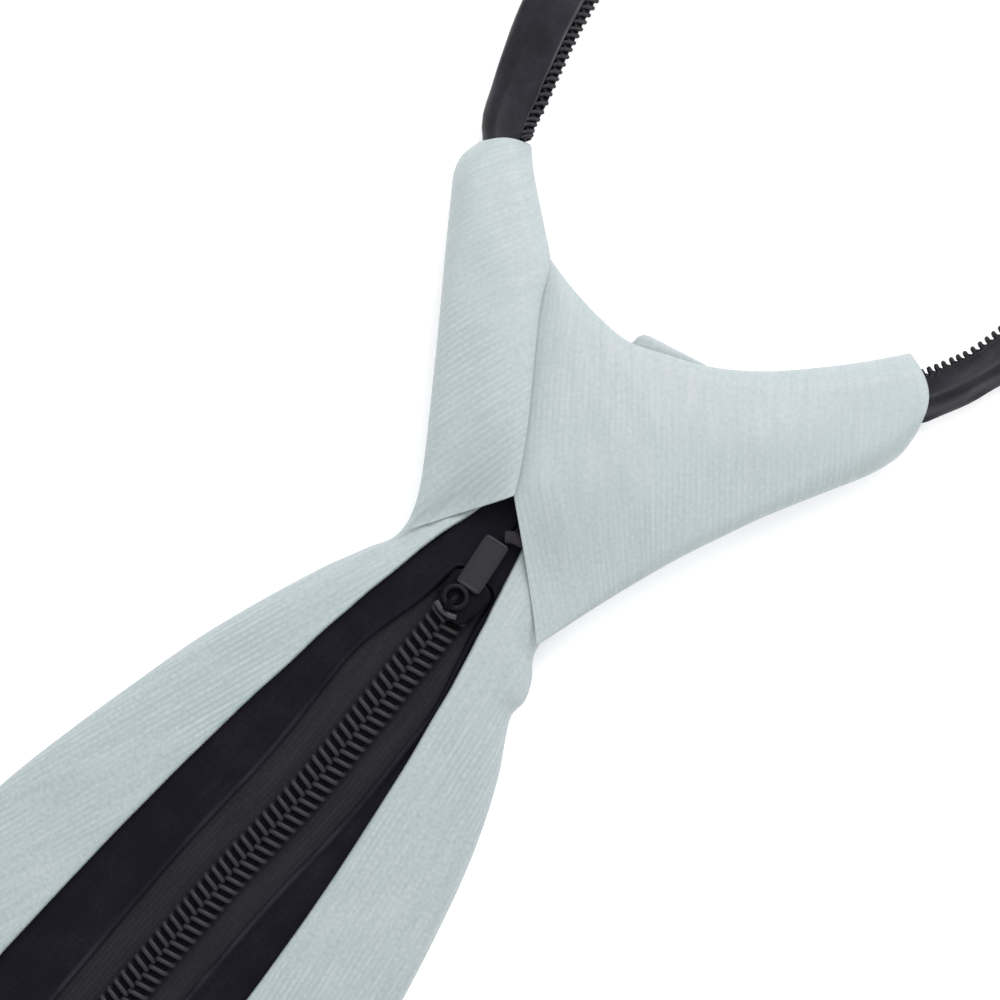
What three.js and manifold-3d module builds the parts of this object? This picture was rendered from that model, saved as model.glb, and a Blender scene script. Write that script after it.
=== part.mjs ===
// A zip necktie lying face down, millimetres, +Z up.
// X runs across the tie, +Y towards the neck loop, -Y towards the tip.
// The origin is on the front face of the knot, under the point where the two wings part.

import * as THREE from "three";
import { mergeVertices } from "three/addons/utils/BufferGeometryUtils.js";
import Module from "manifold-3d";

// Driving dimensions
const GAP = 0.3; // clearance between touching pieces
const BLADE_WALL = 1.2; // cloth and its padding
const KNOT_WALL = 1.2;
const WING_WALL = 1.0;
const BLADE_CENTRE = 3.5; // x of the blade's middle line
const FULL_WIDTH = 80; // widest part of the blade
const TIP_Y = -460; // the pointed end of the blade
const TIP_START = TIP_Y + FULL_WIDTH / 2; // the sides turn in to a square corner
const FOLD_HEIGHT = 5.6; // folded blade, lying flat
const TIP_HEIGHT = 3.4; // folded blade at the point
const FLAP_OPENING = 32; // between the flaps, over the zip
const HEM = 9; // turned in round the tip
const TAIL_END_Y = -262; // lower end of the closed zip
const TAIL_END_LENGTH = 12; // satin folded over that end
const ZIP_BOTTOM_Y = TAIL_END_Y - 4; // where the flaps start to close below the zip
const CHAIN_WIDTH = 6; // closed coils
const COIL_WIDTH = 2.7; // one coil
const COIL_HEIGHT = 1.9;
const TAPE_THICKNESS = 0.6;
const TAPE_HALF = 8.4; // zip tape from the middle line to its sewn edge
const PLACKET_INNER = 7.5; // satin strip, from the zip's middle line
const PLACKET_THICKNESS = 1.1;
const NECK_COIL_WIDTH = 2.1;
const NECK_COIL_HEIGHT = 1.8;
const SLIDER = { x: 3.2, y: -16, length: 8, width: 7, plate: 0.9, wall: 0.75, mouth: 0.45 };
const BRIDGE = { width: 1, foot: 0.8, upper: 0.25, lower: -3.9, bar: 0.7 }; // upper, lower: ends in y
const TAB = { x: 3.15, y: -15.6, turn: 0.1, width: 4.1, length: 7.5, thickness: 1.0 };
const RING = { outerX: 2.6, outerY: 2.5, innerX: 1.5, innerY: 1.4 }; // half sizes

// Upper part of the blade, a row for each section: sides and flap edges in x, underside and top
// of the fold in z
const BLADE = [
  { y: 1.2, left: -7.8, right: 15.0, leftFlap: -3.2, rightFlap: 9.5, low: 1.5, high: 9.7 },
  { y: -6, left: -7.7, right: 14.9, leftFlap: -3.7, rightFlap: 7.0, low: 1.5, high: 9.8 },
  { y: -14, left: -7.9, right: 15.1, leftFlap: -5.7, rightFlap: 7.4, low: 1.5, high: 9.9 },
  { y: -15.2, left: -9.3, right: 16.3, leftFlap: -6.0, rightFlap: 7.8, low: 1.4, high: 9.9 },
  { y: -17.2, left: -10.6, right: 18.4, leftFlap: -6.4, rightFlap: 8.3, low: 1.3, high: 9.9 },
  { y: -19.3, left: -11.6, right: 19.8, leftFlap: -6.7, rightFlap: 8.9, low: 1.2, high: 9.8 },
  { y: -21.6, left: -12.8, right: 20.3, leftFlap: -7.1, rightFlap: 9.5, low: 1.1, high: 9.7 },
  { y: -24.2, left: -14.0, right: 20.1, leftFlap: -7.5, rightFlap: 10.1, low: 1.0, high: 9.5 },
  { y: -27.2, left: -15.2, right: 21.8, leftFlap: -8.0, rightFlap: 10.7, low: 0.9, high: 9.3 },
  { y: -32.1, left: -17.0, right: 25.0, leftFlap: -8.8, rightFlap: 11.6, low: 0.7, high: 8.9 },
  { y: -38.9, left: -19.3, right: 28.1, leftFlap: -9.6, rightFlap: 12.8, low: 0.5, high: 8.4 },
  { y: -46.3, left: -21.5, right: 30.7, leftFlap: -10.6, rightFlap: 13.7, low: 0.3, high: 7.8 },
  { y: -55.8, left: -23.9, right: 32.9, leftFlap: -11.6, rightFlap: 14.8, low: 0.1, high: 7.1 },
  { y: -65.8, left: -26.8, right: 34.7, leftFlap: -12.5, rightFlap: 15.8, low: 0, high: 6.6 },
  { y: -80, left: -30.2, right: 37.0, leftFlap: -13.5, rightFlap: 16.9, low: 0, high: 6.1 },
  { y: -98, left: -32.0, right: 38.6, leftFlap: -14.4, rightFlap: 17.6, low: 0, high: 5.8 },
];
const BLADE_LOWER_Y = [-120, -150, -180, -225, ZIP_BOTTOM_Y, -300, -345, -372, -396, TIP_START,
  -432, -444, -451, TIP_Y + 1.9];
// Half the opening between the flaps: over the zip, sewn together below it, open at the hem
const FLAP_GAPS = [
  { y: BLADE.at(-1).y, half: FLAP_OPENING / 2 },
  { y: ZIP_BOTTOM_Y, half: FLAP_OPENING / 2 },
  { y: -300, half: 0.5 },
  { y: -372, half: 0.5 },
  { y: TIP_START, half: FULL_WIDTH / 2 - HEM },
  { y: TIP_Y + HEM, half: 0.3 },
  { y: TIP_Y, half: 0.2 },
];

// Knot band, a row for each section from its lower edge up: plan position of both sides,
// height of the turned-in edge, and how far that edge curls in (degrees)
const BAND = [
  { leftX: -9.5, leftY: -13.9, rightX: 16.7, rightY: -13.9, high: 8.0, curl: 8 },
  { leftX: -9.7, leftY: -9, rightX: 17.3, rightY: -9.5, high: 8.0, curl: 20 },
  { leftX: -11.9, leftY: -3, rightX: 19.6, rightY: -2, high: 8.2, curl: 45 },
  { leftX: -15.7, leftY: 6, rightX: 22.9, rightY: 8, high: 8.6, curl: 60 },
  { leftX: -18.8, leftY: 15, rightX: 25.8, rightY: 18.5, high: 8.6, curl: 66 },
  { leftX: -20.6, leftY: 21, rightX: 27.4, rightY: 28, high: 8.3, curl: 66 },
  { leftX: -20.2, leftY: 24.6, rightX: 25.6, rightY: 31.6, high: 7.2, curl: 66 },
];

// Rows of numbers under named columns
function table(columns, rows) {
  return rows.map((row) => Object.fromEntries(columns.map((name, k) => [name, row[k]])));
}

// Wings, a row for each section from the open mouth down to the knot. Both sides of the strip
// in plan, the underside and top of the fold at each side, the crown between them, how far the
// underside closes (1 = shut), how far the section bows out towards the mouth, and where across
// it the crown stands.
const WING_COLUMNS = ["aX", "aY", "bX", "bY", "aLow", "aHigh", "bLow", "bHigh", "crown", "shut",
  "bow", "at"];
const LEFT_WING = table(WING_COLUMNS, [
  [-37.5, 36.5, -31.0, 40.3, 2.4, 11.6, 2.6, 12.0, 0.4, 1, 1.0, 0.5],
  [-38.0, 33.6, -28.9, 38.3, 2.9, 11.8, 3.2, 12.5, 0.5, 1, 0.8, 0.5],
  [-37.2, 30.9, -26.2, 35.8, 3.8, 12.0, 4.8, 13.2, 0.7, 1, 0.4, 0.5],
  [-34.9, 27.4, -22.6, 32.7, 5.2, 12.2, 6.6, 14.3, 0.9, 0.8, 0, 0.5],
  [-31.5, 22.6, -18.5, 29.3, 6.8, 12.4, 13.4, 16.0, 1.0, 0.12, 0, 0.5],
  [-27.3, 16.7, -15.7, 24.5, 8.4, 12.6, 14.5, 17.0, 1.0, 0.1, 0, 0.5],
  [-23.2, 10.7, -12.5, 19.6, 8.5, 12.8, 15.2, 17.7, 1.0, 0.12, 0, 0.5],
  [-18.1, 3.7, -9.2, 14.8, 8.5, 12.8, 15.6, 18.1, 1.0, 0.1, 0, 0.5],
  [-13.9, -2.3, -5.9, 10.0, 8.5, 12.6, 15.6, 18.1, 0.9, 0.1, 0, 0.5],
  [-11.0, -7.4, -3.6, 6.3, 8.6, 12.3, 15.3, 17.8, 0.7, 0.1, 0, 0.5],
  [-9.7, -11.4, -1.8, 3.1, 8.7, 11.9, 15.0, 17.4, 0.5, 0.1, 0, 0.5],
  [-9.6, -14.4, -0.3, 0.3, 8.8, 11.6, 14.8, 17.1, 0.3, 0.1, 0, 0.5],
]);
const RIGHT_WING = table(WING_COLUMNS, [
  [38.3, 44.4, 30.0, 53.1, 2.4, 11.6, 2.4, 11.6, 0.3, 1, 2.3, 0.5],
  [38.2, 40.8, 27.0, 49.8, 2.9, 11.8, 3.2, 12.0, 0.5, 1, 1.4, 0.5],
  [36.6, 36.2, 22.6, 44.6, 3.9, 12.0, 4.8, 12.4, 0.7, 1, 0.5, 0.5],
  [33.4, 30.6, 17.2, 39.1, 5.6, 12.1, 6.8, 12.7, 1.0, 0.8, 0, 0.5],
  [30.6, 25.2, 12.6, 35.3, 7.2, 12.2, 9.6, 13.0, 1.4, 0.12, 0, 0.5],
  [28.4, 20.2, 8.0, 32.4, 8.4, 12.3, 10.4, 13.1, 1.8, 0.1, 0, 0.5],
  [26.4, 14.8, 3.0, 30.2, 8.5, 12.3, 10.5, 13.1, 2.2, 0.1, 0, 0.5],
  [24.2, 8.8, -2.2, 28.2, 8.5, 12.2, 10.4, 13.0, 2.5, 0.08, 0.4, 0.45],
  [21.9, 1.6, -7.6, 28.1, 8.5, 12.0, 10.4, 12.9, 2.6, 0.06, -0.8, 0.42],
  [19.7, -5.4, -12.8, 28.6, 8.6, 11.8, 10.4, 12.8, 2.6, 0.05, -2.2, 0.4],
  [18.1, -10.6, -16.6, 28.8, 8.7, 11.6, 10.3, 12.6, 2.5, 0.04, -3.5, 0.39],
  [16.8, -14.3, -19.0, 28.6, 8.8, 11.4, 10.2, 12.5, 2.3, 0.03, -4.4, 0.39],
]);

// Zip behind the blade, a row for each section: its middle line, the underside of the tapes,
// and the reach of the satin strips to each side
const TAIL = [
  { y: 1.6, x: 3.0, z: 6.2, left: -3.8, right: 10.4 },
  { y: -6, x: 3.1, z: 6.2, left: -4.2, right: 10.8 },
  { y: -14, x: 3.3, z: 6.2, left: -5.8, right: 11.5 },
  { y: -21, x: 3.5, z: 6.2, left: -7.8, right: 14.5 },
  { y: -32, x: 3.8, z: 5.3, left: -10.9, right: 18.0 },
  { y: -51, x: 4.2, z: 4.0, left: -12.6, right: 19.8 },
  { y: -68, x: 3.4, z: 3.0, left: -13.6, right: 20.1 },
  { y: -88, x: 3.2, z: 2.0, left: -14.6, right: 20.6 },
  { y: -115, x: 3.3, z: 1.6, left: -15.6, right: 22.2 },
  { y: -150, x: 3.4, z: 1.5, left: -16.1, right: 22.9 },
  { y: -200, x: 3.5, z: 1.5, left: -16.3, right: 23.3 },
  { y: -234, x: 3.5, z: 1.5, left: -15.6, right: 22.6 },
  { y: -246, x: 3.5, z: 2.6, left: -11.4, right: 18.4 },
  { y: -260, x: 3.5, z: 2.6, left: -11.4, right: 18.4 },
];

// Neck zip, a row for each point of a half: its middle line, its height, its whole width with
// the coil, its thickness and its lean (degrees, coil edge up)
const LEFT_NECK = [
  { x: -2.4, y: 5.0, z: 9.4, width: 6.0, thick: 2.0, lean: 0 },
  { x: -7.6, y: 9.0, z: 10.2, width: 6.0, thick: 2.0, lean: 4 },
  { x: -15.0, y: 14.6, z: 10.6, width: 6.0, thick: 2.0, lean: 8 },
  { x: -22.5, y: 21.8, z: 10.6, width: 6.0, thick: 2.0, lean: 14 },
  { x: -29.2, y: 30.6, z: 9.7, width: 5.4, thick: 2.0, lean: 30 },
  { x: -33.9, y: 38.2, z: 7.2, width: 5.2, thick: 2.0, lean: 52 },
  { x: -36.1, y: 41.2, z: 7.0, width: 10.0, thick: 2.3, lean: 46 },
  { x: -37.8, y: 45.0, z: 6.6, width: 10.6, thick: 2.6, lean: 40 },
  { x: -39.8, y: 49.8, z: 5.8, width: 10.6, thick: 2.7, lean: 34 },
  { x: -41.6, y: 57.6, z: 4.8, width: 10.6, thick: 2.7, lean: 26 },
  { x: -44.8, y: 72.0, z: 3.2, width: 10.6, thick: 2.7, lean: 14 },
];
const RIGHT_NECK = [
  { x: 8.4, y: 5.0, z: 9.4, width: 6.0, thick: 2.0, lean: 0 },
  { x: 11.8, y: 9.6, z: 10.2, width: 6.4, thick: 2.0, lean: 2 },
  { x: 16.5, y: 18.0, z: 10.4, width: 6.8, thick: 2.1, lean: 4 },
  { x: 22.6, y: 28.4, z: 10.2, width: 7.0, thick: 2.2, lean: 12 },
  { x: 29.4, y: 39.0, z: 9.0, width: 7.4, thick: 2.2, lean: 24 },
  { x: 35.2, y: 49.4, z: 7.1, width: 8.4, thick: 2.3, lean: 40 },
  { x: 38.0, y: 54.8, z: 6.7, width: 10.2, thick: 2.5, lean: 46 },
  { x: 39.7, y: 59.4, z: 6.4, width: 10.6, thick: 2.6, lean: 50 },
  { x: 42.6, y: 68.4, z: 5.4, width: 10.6, thick: 2.7, lean: 32 },
  { x: 46.2, y: 80.0, z: 3.6, width: 10.6, thick: 2.7, lean: 16 },
];
// The rest of each half is the same on both sides
const NECK_SIDE = [
  { x: 50.6, y: 97, z: 1.9, width: 10.6, thick: 2.7, lean: 4 },
  { x: 53.2, y: 116, z: 1.4, width: 10.6, thick: 2.7, lean: 0 },
  { x: 52.6, y: 136, z: 1.4, width: 10.6, thick: 2.7, lean: 0 },
  { x: 48.2, y: 156, z: 1.4, width: 10.6, thick: 2.7, lean: 0 },
  { x: 39.4, y: 174, z: 1.5, width: 10.6, thick: 2.7, lean: 0 },
  { x: 27.0, y: 186.4, z: 2.1, width: 10.6, thick: 2.7, lean: 0 },
  { x: 13.0, y: 192.9, z: 2.75, width: 10.6, thick: 2.7, lean: 0 },
  { x: 1.1, y: 194.6, z: 2.75, width: 10.6, thick: 2.7, lean: 0 },
];
const NECK_SECTIONS = 34; // along each half
const STRAP_POINTS = 8; // round a strap's section
const COIL_POINTS = 6;
const NAPE = { y: 194.2, length: 18, width: 15.2, height: 5.5, wall: 1.0 };

// Cubic through the rows of a table, one named column at a time
function column(rows, key, position) {
  const last = rows.length - 1;
  const i = Math.min(Math.floor(position), last - 1);
  const f = position - i;
  const value = (k) => rows[Math.max(0, Math.min(last, k))][key];
  const [p0, p1, p2, p3] = [value(i - 1), value(i), value(i + 1), value(i + 2)];
  const m1 = (p2 - p0) / 2;
  const m2 = (p3 - p1) / 2;
  const f2 = f * f;
  const f3 = f2 * f;
  return (2 * f3 - 3 * f2 + 1) * p1 + (f3 - 2 * f2 + f) * m1
    + (-2 * f3 + 3 * f2) * p2 + (f3 - f2) * m2;
}

function mix(a, b, f) {
  return a + (b - a) * f;
}

// Straight-line value of a column at a given y, for tables that run towards -Y
function atY(rows, key, y) {
  const i = Math.max(1, rows.findIndex((row, k) => k > 0 && row.y <= y));
  const [a, b] = [rows[i - 1], rows[i]];
  return mix(a[key], b[key], (y - a.y) / (b.y - a.y));
}

function geometryOf(points, triangles) {
  const g = new THREE.BufferGeometry();
  const numbers = points.flatMap((p) => [p.x, p.y, p.z]);
  g.setAttribute("position", new THREE.Float32BufferAttribute(numbers, 3));
  g.setIndex(triangles);
  g.computeVertexNormals();
  return g;
}

// Turns the triangles round if the closed body they make is inside out
function facingOut(points, triangles) {
  const v = new THREE.Vector3();
  let volume = 0;
  for (let i = 0; i < triangles.length; i += 3) {
    const [a, b, c] = [0, 1, 2].map((k) => points[triangles[i + k]]);
    volume += a.dot(v.crossVectors(b, c));
  }
  if (volume < 0) triangles.reverse();
  return geometryOf(points, triangles);
}

// A cloth wall: `grid` holds rows of points on its outer face, the inner face lies a wall
// thickness inside it, and four rims close the edges. `side` is 1 or -1, whichever makes the
// row direction x column direction point out.
function cloth(grid, wall, side) {
  const rows = grid.length;
  const columns = grid[0].length;
  const inner = grid.map((row, i) => row.map((p, j) => {
    const along = grid[Math.min(i + 1, rows - 1)][j].clone().sub(grid[Math.max(i - 1, 0)][j]);
    const across = row[Math.min(j + 1, columns - 1)].clone().sub(row[Math.max(j - 1, 0)]);
    const normal = along.cross(across).normalize().multiplyScalar(side);
    return p.clone().addScaledVector(normal, -wall);
  }));
  const points = [...grid.flat(), ...inner.flat()];
  const outerAt = (i, j) => i * columns + j;
  const innerAt = (i, j) => rows * columns + i * columns + j;
  const triangles = [];
  const quad = (a, b, c, d) => triangles.push(a, b, c, a, c, d);
  for (let i = 0; i < rows - 1; i++)
    for (let j = 0; j < columns - 1; j++) {
      quad(outerAt(i, j), outerAt(i + 1, j), outerAt(i + 1, j + 1), outerAt(i, j + 1));
      quad(innerAt(i, j), innerAt(i, j + 1), innerAt(i + 1, j + 1), innerAt(i + 1, j));
    }
  for (let i = 0; i < rows - 1; i++) {
    quad(outerAt(i, 0), innerAt(i, 0), innerAt(i + 1, 0), outerAt(i + 1, 0));
    const j = columns - 1;
    quad(outerAt(i + 1, j), innerAt(i + 1, j), innerAt(i, j), outerAt(i, j));
  }
  for (let j = 0; j < columns - 1; j++) {
    quad(outerAt(0, j + 1), innerAt(0, j + 1), innerAt(0, j), outerAt(0, j));
    const i = rows - 1;
    quad(outerAt(i, j), innerAt(i, j), innerAt(i, j + 1), outerAt(i, j + 1));
  }
  return facingOut(points, triangles);
}

// A solid run through closed rings of points, with a fan over each end
function loft(rings) {
  const n = rings[0].length;
  const points = rings.flat();
  const triangles = [];
  for (let i = 0; i < rings.length - 1; i++)
    for (let j = 0; j < n; j++) {
      const k = (j + 1) % n;
      const [a, b, c, d] = [i * n + j, i * n + k, (i + 1) * n + k, (i + 1) * n + j];
      triangles.push(a, b, c, a, c, d);
    }
  const base = (rings.length - 1) * n;
  for (let j = 1; j < n - 1; j++) {
    triangles.push(0, j + 1, j);
    triangles.push(base, base + j, base + j + 1);
  }
  return facingOut(points, triangles);
}

// Rounds a strip's edge: x goes in from the edge, z from the panel (0) to the lip side (1)
function roll(edgeRadius, degrees, roundness) {
  const a = THREE.MathUtils.degToRad(degrees);
  const power = 2 / roundness;
  return {
    in: edgeRadius * (1 - Math.pow(Math.max(Math.cos(a), 0), power)),
    rise: 0.5 + 0.5 * Math.sign(Math.sin(a)) * Math.pow(Math.abs(Math.sin(a)), power),
  };
}

// Section of a strip folded in at both sides, from one lip round the panel to the other lip.
// Each point is [distance from side a, panel-to-lip share].
function foldedSection(width, radiusA, radiusB, lipA, lipB, curl, steps, roundness = 2) {
  const side = (radius, lip) => {
    const end = roll(radius, curl, roundness);
    const lips = [];
    for (let k = steps.lip; k >= 1; k--) lips.push([end.in + lip * k / steps.lip, end.rise]);
    const turn = [];
    for (let k = 0; k <= steps.roll; k++) {
      const p = roll(radius, mix(curl, -90, k / steps.roll), roundness);
      turn.push([p.in, p.rise]);
    }
    return [...lips, ...turn];
  };
  const panel = [];
  for (let k = 1; k < steps.panel; k++)
    panel.push([mix(radiusA, width - radiusB, k / steps.panel), 0]);
  const b = side(radiusB, lipB).map(([x, rise]) => [width - x, rise]).reverse();
  return [...side(radiusA, lipA), ...panel, ...b];
}

// A section of the lower blade: it widens slowly to its full width,
// the flaps part over the zip, meet below it, and open again to a hem round the point
function lowerBladeRow(y) {
  const top = BLADE[BLADE.length - 1];
  const full = FULL_WIDTH / 2;
  const down = y - top.y;
  const topHalf = (top.right - top.left) / 2;
  const half = y > TIP_START ? full - (full - topHalf) * Math.exp(down / 100) : y - TIP_Y;
  const opening = atY(FLAP_GAPS, "half", y);
  const thinning = THREE.MathUtils.clamp((y - ZIP_BOTTOM_Y) / (TIP_Y - ZIP_BOTTOM_Y), 0, 1);
  const bulk = (top.high - FOLD_HEIGHT) * Math.exp(down / 30);
  const offset = ((top.leftFlap + top.rightFlap) / 2 - BLADE_CENTRE) * Math.exp(down / 60);
  return {
    y,
    left: BLADE_CENTRE - half,
    right: BLADE_CENTRE + half,
    leftFlap: BLADE_CENTRE - opening + offset,
    rightFlap: BLADE_CENTRE + opening + offset,
    low: 0,
    high: mix(FOLD_HEIGHT, TIP_HEIGHT, thinning) + bulk,
  };
}

function bladeGeometry() {
  const steps = { lip: 3, roll: 4, panel: 6 };
  const rows = [...BLADE, ...BLADE_LOWER_Y.map(lowerBladeRow)];
  const grid = rows.map((row) => {
    const width = row.right - row.left;
    const [flapA, flapB] = [row.leftFlap - row.left, row.right - row.rightFlap];
    const tallest = (row.high - row.low) / 2;
    const [rA, rB] = [flapA, flapB].map((flap) => Math.min(tallest, flap * 0.85));
    return foldedSection(width, rA, rB, flapA - rA, flapB - rB, 90, steps).map(([x, rise]) =>
      new THREE.Vector3(row.left + x, row.y, mix(row.low, row.high, rise)));
  });
  return cloth(grid, BLADE_WALL, -1);
}

function bandGeometry() {
  const steps = { lip: 0, roll: 7, panel: 6 };
  const grid = BAND.map((row) => {
    const a = new THREE.Vector3(row.leftX, row.leftY, 0);
    const b = new THREE.Vector3(row.rightX, row.rightY, 0);
    const width = a.distanceTo(b);
    const section = foldedSection(width, 4.4, 4.4, 0, 0, row.curl, steps, 2.4);
    return section.map(([x, rise]) => a.clone().lerp(b, x / width).setZ(row.high * rise));
  });
  return cloth(grid, KNOT_WALL, 1);
}

// A wing: the strip's cloth is on top, its sides fold under, and the underside shuts to a tube
// towards the mouth
function wingGeometry(table, side) {
  const steps = { lip: 2, roll: 5, panel: 7 };
  const grid = table.map((row) => {
    const a = new THREE.Vector3(row.aX, row.aY, 0);
    const b = new THREE.Vector3(row.bX, row.bY, 0);
    const width = a.distanceTo(b);
    const chord = b.clone().sub(a).normalize();
    const outward = new THREE.Vector3(-chord.y, chord.x, 0).multiplyScalar(side);
    const radius = Math.min((row.aHigh - row.aLow) / 2, width * 0.42, 3.4);
    const room = width / 2 - radius - GAP / 2;
    const lip = Math.max(0.3, room * row.shut);
    return foldedSection(width, radius, radius, lip, lip, 90, steps).map(([x, rise]) => {
      const s = x / width;
      const warped = s < row.at ? 0.5 * s / row.at : 0.5 + 0.5 * (s - row.at) / (1 - row.at);
      const wave = Math.sin(Math.PI * warped);
      const top = mix(row.aHigh, row.bHigh, s) + row.crown * Math.pow(wave, 0.8);
      const under = mix(row.aLow, row.bLow, s);
      return a.clone().lerp(b, s).addScaledVector(outward, row.bow * wave)
        .setZ(mix(top, under, rise));
    });
  });
  return cloth(grid, WING_WALL, side);
}

// Flat strip of the tail between two lines in x, with softened corners
function stripGeometry(rows, from, to, low, thickness, soften) {
  const rings = rows.map((row) => {
    const [x0, x1] = [from(row), to(row)];
    const z0 = row.z + low;
    const z1 = z0 + thickness;
    const corner = [
      [x0, z0 + soften], [x0 + soften, z0], [x1 - soften, z0], [x1, z0 + soften],
      [x1, z1 - soften], [x1 - soften, z1], [x0 + soften, z1], [x0, z1 - soften],
    ];
    return corner.map(([x, z]) => new THREE.Vector3(x, row.y, z));
  });
  return loft(rings);
}

function tailRows(fromY, toY, extra = []) {
  const between = TAIL.map((row) => row.y).filter((y) => y < fromY && y > toY);
  const stations = [fromY, ...between, ...extra, toY].sort((p, q) => q - p);
  return stations.map((y) => ({
    y,
    x: atY(TAIL, "x", y),
    z: atY(TAIL, "z", y),
    left: atY(TAIL, "left", y),
    right: atY(TAIL, "right", y),
  }));
}

// How far the satin strips keep from the middle line: they close up above the slider
function placketInner(y) {
  const sliderTop = SLIDER.y + SLIDER.length / 2;
  const beside = SLIDER.width / 2 + 0.55;
  if (y > sliderTop + GAP) return 0.25;
  return mix(beside, PLACKET_INNER, THREE.MathUtils.clamp((SLIDER.y - 2 - y) / 8, 0, 1));
}

function placketGeometry(side) {
  const notch = SLIDER.y + SLIDER.length / 2 + GAP;
  const stations = [notch + 0.4, notch - 0.01, SLIDER.y - 2, SLIDER.y - 10];
  const rows = tailRows(TAIL[0].y, TAIL_END_Y + TAIL_END_LENGTH + GAP, stations);
  const inner = (row) => row.x + side * placketInner(row.y);
  const outer = (row) => (side < 0 ? row.left : row.right);
  const [from, to] = side < 0 ? [outer, inner] : [inner, outer];
  return stripGeometry(rows, from, to, TAPE_THICKNESS + GAP, PLACKET_THICKNESS, 0.35);
}

// The tapes part round the slider's post and end inside the satin at the lower end
function tapeGeometry(side) {
  const fork = SLIDER.y + 1.3;
  const rows = tailRows(-1, TAIL_END_Y + 3, [fork, fork - 1]);
  const inner = (row) => row.x + side * (row.y < fork - 0.5 ? 0.2 : 1.3);
  const outer = (row) => row.x + side * (row.y > -16 ? 6.2 : TAPE_HALF);
  const [from, to] = side < 0 ? [outer, inner] : [inner, outer];
  return stripGeometry(rows, from, to, 0, TAPE_THICKNESS, 0.15);
}

function coilGeometry(side) {
  const top = SLIDER.y - SLIDER.length / 2 + 2.2;
  const rows = tailRows(top, TAIL_END_Y + TAIL_END_LENGTH + GAP);
  const inner = (row) => row.x + side * (CHAIN_WIDTH / 2 - COIL_WIDTH);
  const outer = (row) => row.x + side * CHAIN_WIDTH / 2;
  const [from, to] = side < 0 ? [outer, inner] : [inner, outer];
  return stripGeometry(rows, from, to, TAPE_THICKNESS + GAP, COIL_HEIGHT, 0.6);
}

// Folded satin over the tapes' lower end: a U in side view, carried across the tail
function tailEndGeometry() {
  const [back, front] = [TAIL_END_Y + TAIL_END_LENGTH, TAIL_END_Y];
  const layer = 0.8; // satin and its turned edge
  const width = 30;
  const low = BLADE_WALL + GAP;
  const high = low + 2 * layer + TAPE_THICKNESS + 2 * GAP;
  const radius = (high - low) / 2;
  const chamfer = 0.3;
  const shape = new THREE.Shape();
  shape.moveTo(back, low);
  shape.absarc(front + radius, low + radius, radius, -Math.PI / 2, -1.5 * Math.PI, true);
  shape.lineTo(back, high);
  shape.lineTo(back, high - layer);
  shape.lineTo(front + radius + chamfer, high - layer);
  shape.lineTo(front + radius, high - layer - chamfer);
  shape.lineTo(front + radius, low + layer + chamfer);
  shape.lineTo(front + radius + chamfer, low + layer);
  shape.lineTo(back, low + layer);
  const [x, y, z] = [0, 1, 2].map((k) => new THREE.Vector3().setComponent(k, 1));
  return new THREE.ExtrudeGeometry(shape, { depth: width, bevelEnabled: false, curveSegments: 4 })
    .applyMatrix4(new THREE.Matrix4().makeBasis(y, z, x))
    .translate(BLADE_CENTRE - width / 2, 0, 0);
}

// Stations along one neck half, with the section's axes: along the strap, across it towards
// its coil, and through its thickness
function neckStations(table, sign) {
  const rows = [...table, ...NECK_SIDE.map((row) => ({ ...row, x: row.x * sign }))];
  const last = rows.length - 1;
  const at = (p) => new THREE.Vector3(...["x", "y", "z"].map((key) => column(rows, key, p)));
  const step = 0.02; // of a row, for the direction along the strap
  return Array.from({ length: NECK_SECTIONS }, (_, i) => {
    const p = last * i / (NECK_SECTIONS - 1);
    const along = at(Math.min(p + step, last)).sub(at(Math.max(p - step, 0))).normalize();
    const across = new THREE.Vector3(along.y, -along.x, 0).normalize().multiplyScalar(-sign);
    const lean = THREE.MathUtils.degToRad(column(rows, "lean", p));
    across.multiplyScalar(Math.cos(lean)).setZ(Math.sin(lean));
    across.addScaledVector(along, -across.dot(along)).normalize();
    const through = along.clone().cross(across).normalize();
    const [width, thick] = ["width", "thick"].map((key) => column(rows, key, p));
    return { middle: at(p), across, through, width, thick };
  });
}

// Rounded section of a strap between two distances across it
function strapRing(station, from, to, thick, points) {
  const [centre, half] = [(from + to) / 2, (to - from) / 2];
  return Array.from({ length: points }, (_, k) => {
    const a = 2 * Math.PI * k / points;
    const x = Math.sign(Math.cos(a)) * Math.pow(Math.abs(Math.cos(a)), 0.75);
    const z = Math.sign(Math.sin(a)) * Math.pow(Math.abs(Math.sin(a)), 0.75);
    return station.middle.clone().addScaledVector(station.across, centre + half * x)
      .addScaledVector(station.through, thick / 2 * z);
  });
}

function neckStrapGeometry(table, sign) {
  return loft(neckStations(table, sign).map((s) =>
    strapRing(s, -s.width / 2, s.width / 2 - NECK_COIL_WIDTH - GAP, s.thick, STRAP_POINTS)));
}

function neckCoilGeometry(table, sign) {
  return loft(neckStations(table, sign).map((s) =>
    strapRing(s, s.width / 2 - NECK_COIL_WIDTH, s.width / 2, NECK_COIL_HEIGHT, COIL_POINTS)));
}

// Closed mesh to solid and back, for the slider's joins
const wasm = await Module();
wasm.setup();

function solidOf(geometry) {
  const g = geometry.clone();
  g.deleteAttribute("normal");
  g.deleteAttribute("uv");
  const merged = mergeVertices(g, 1e-4);
  return new wasm.Manifold(new wasm.Mesh({
    numProp: 3,
    vertProperties: new Float32Array(merged.attributes.position.array),
    triVerts: new Uint32Array(merged.index.array),
  }));
}

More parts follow.
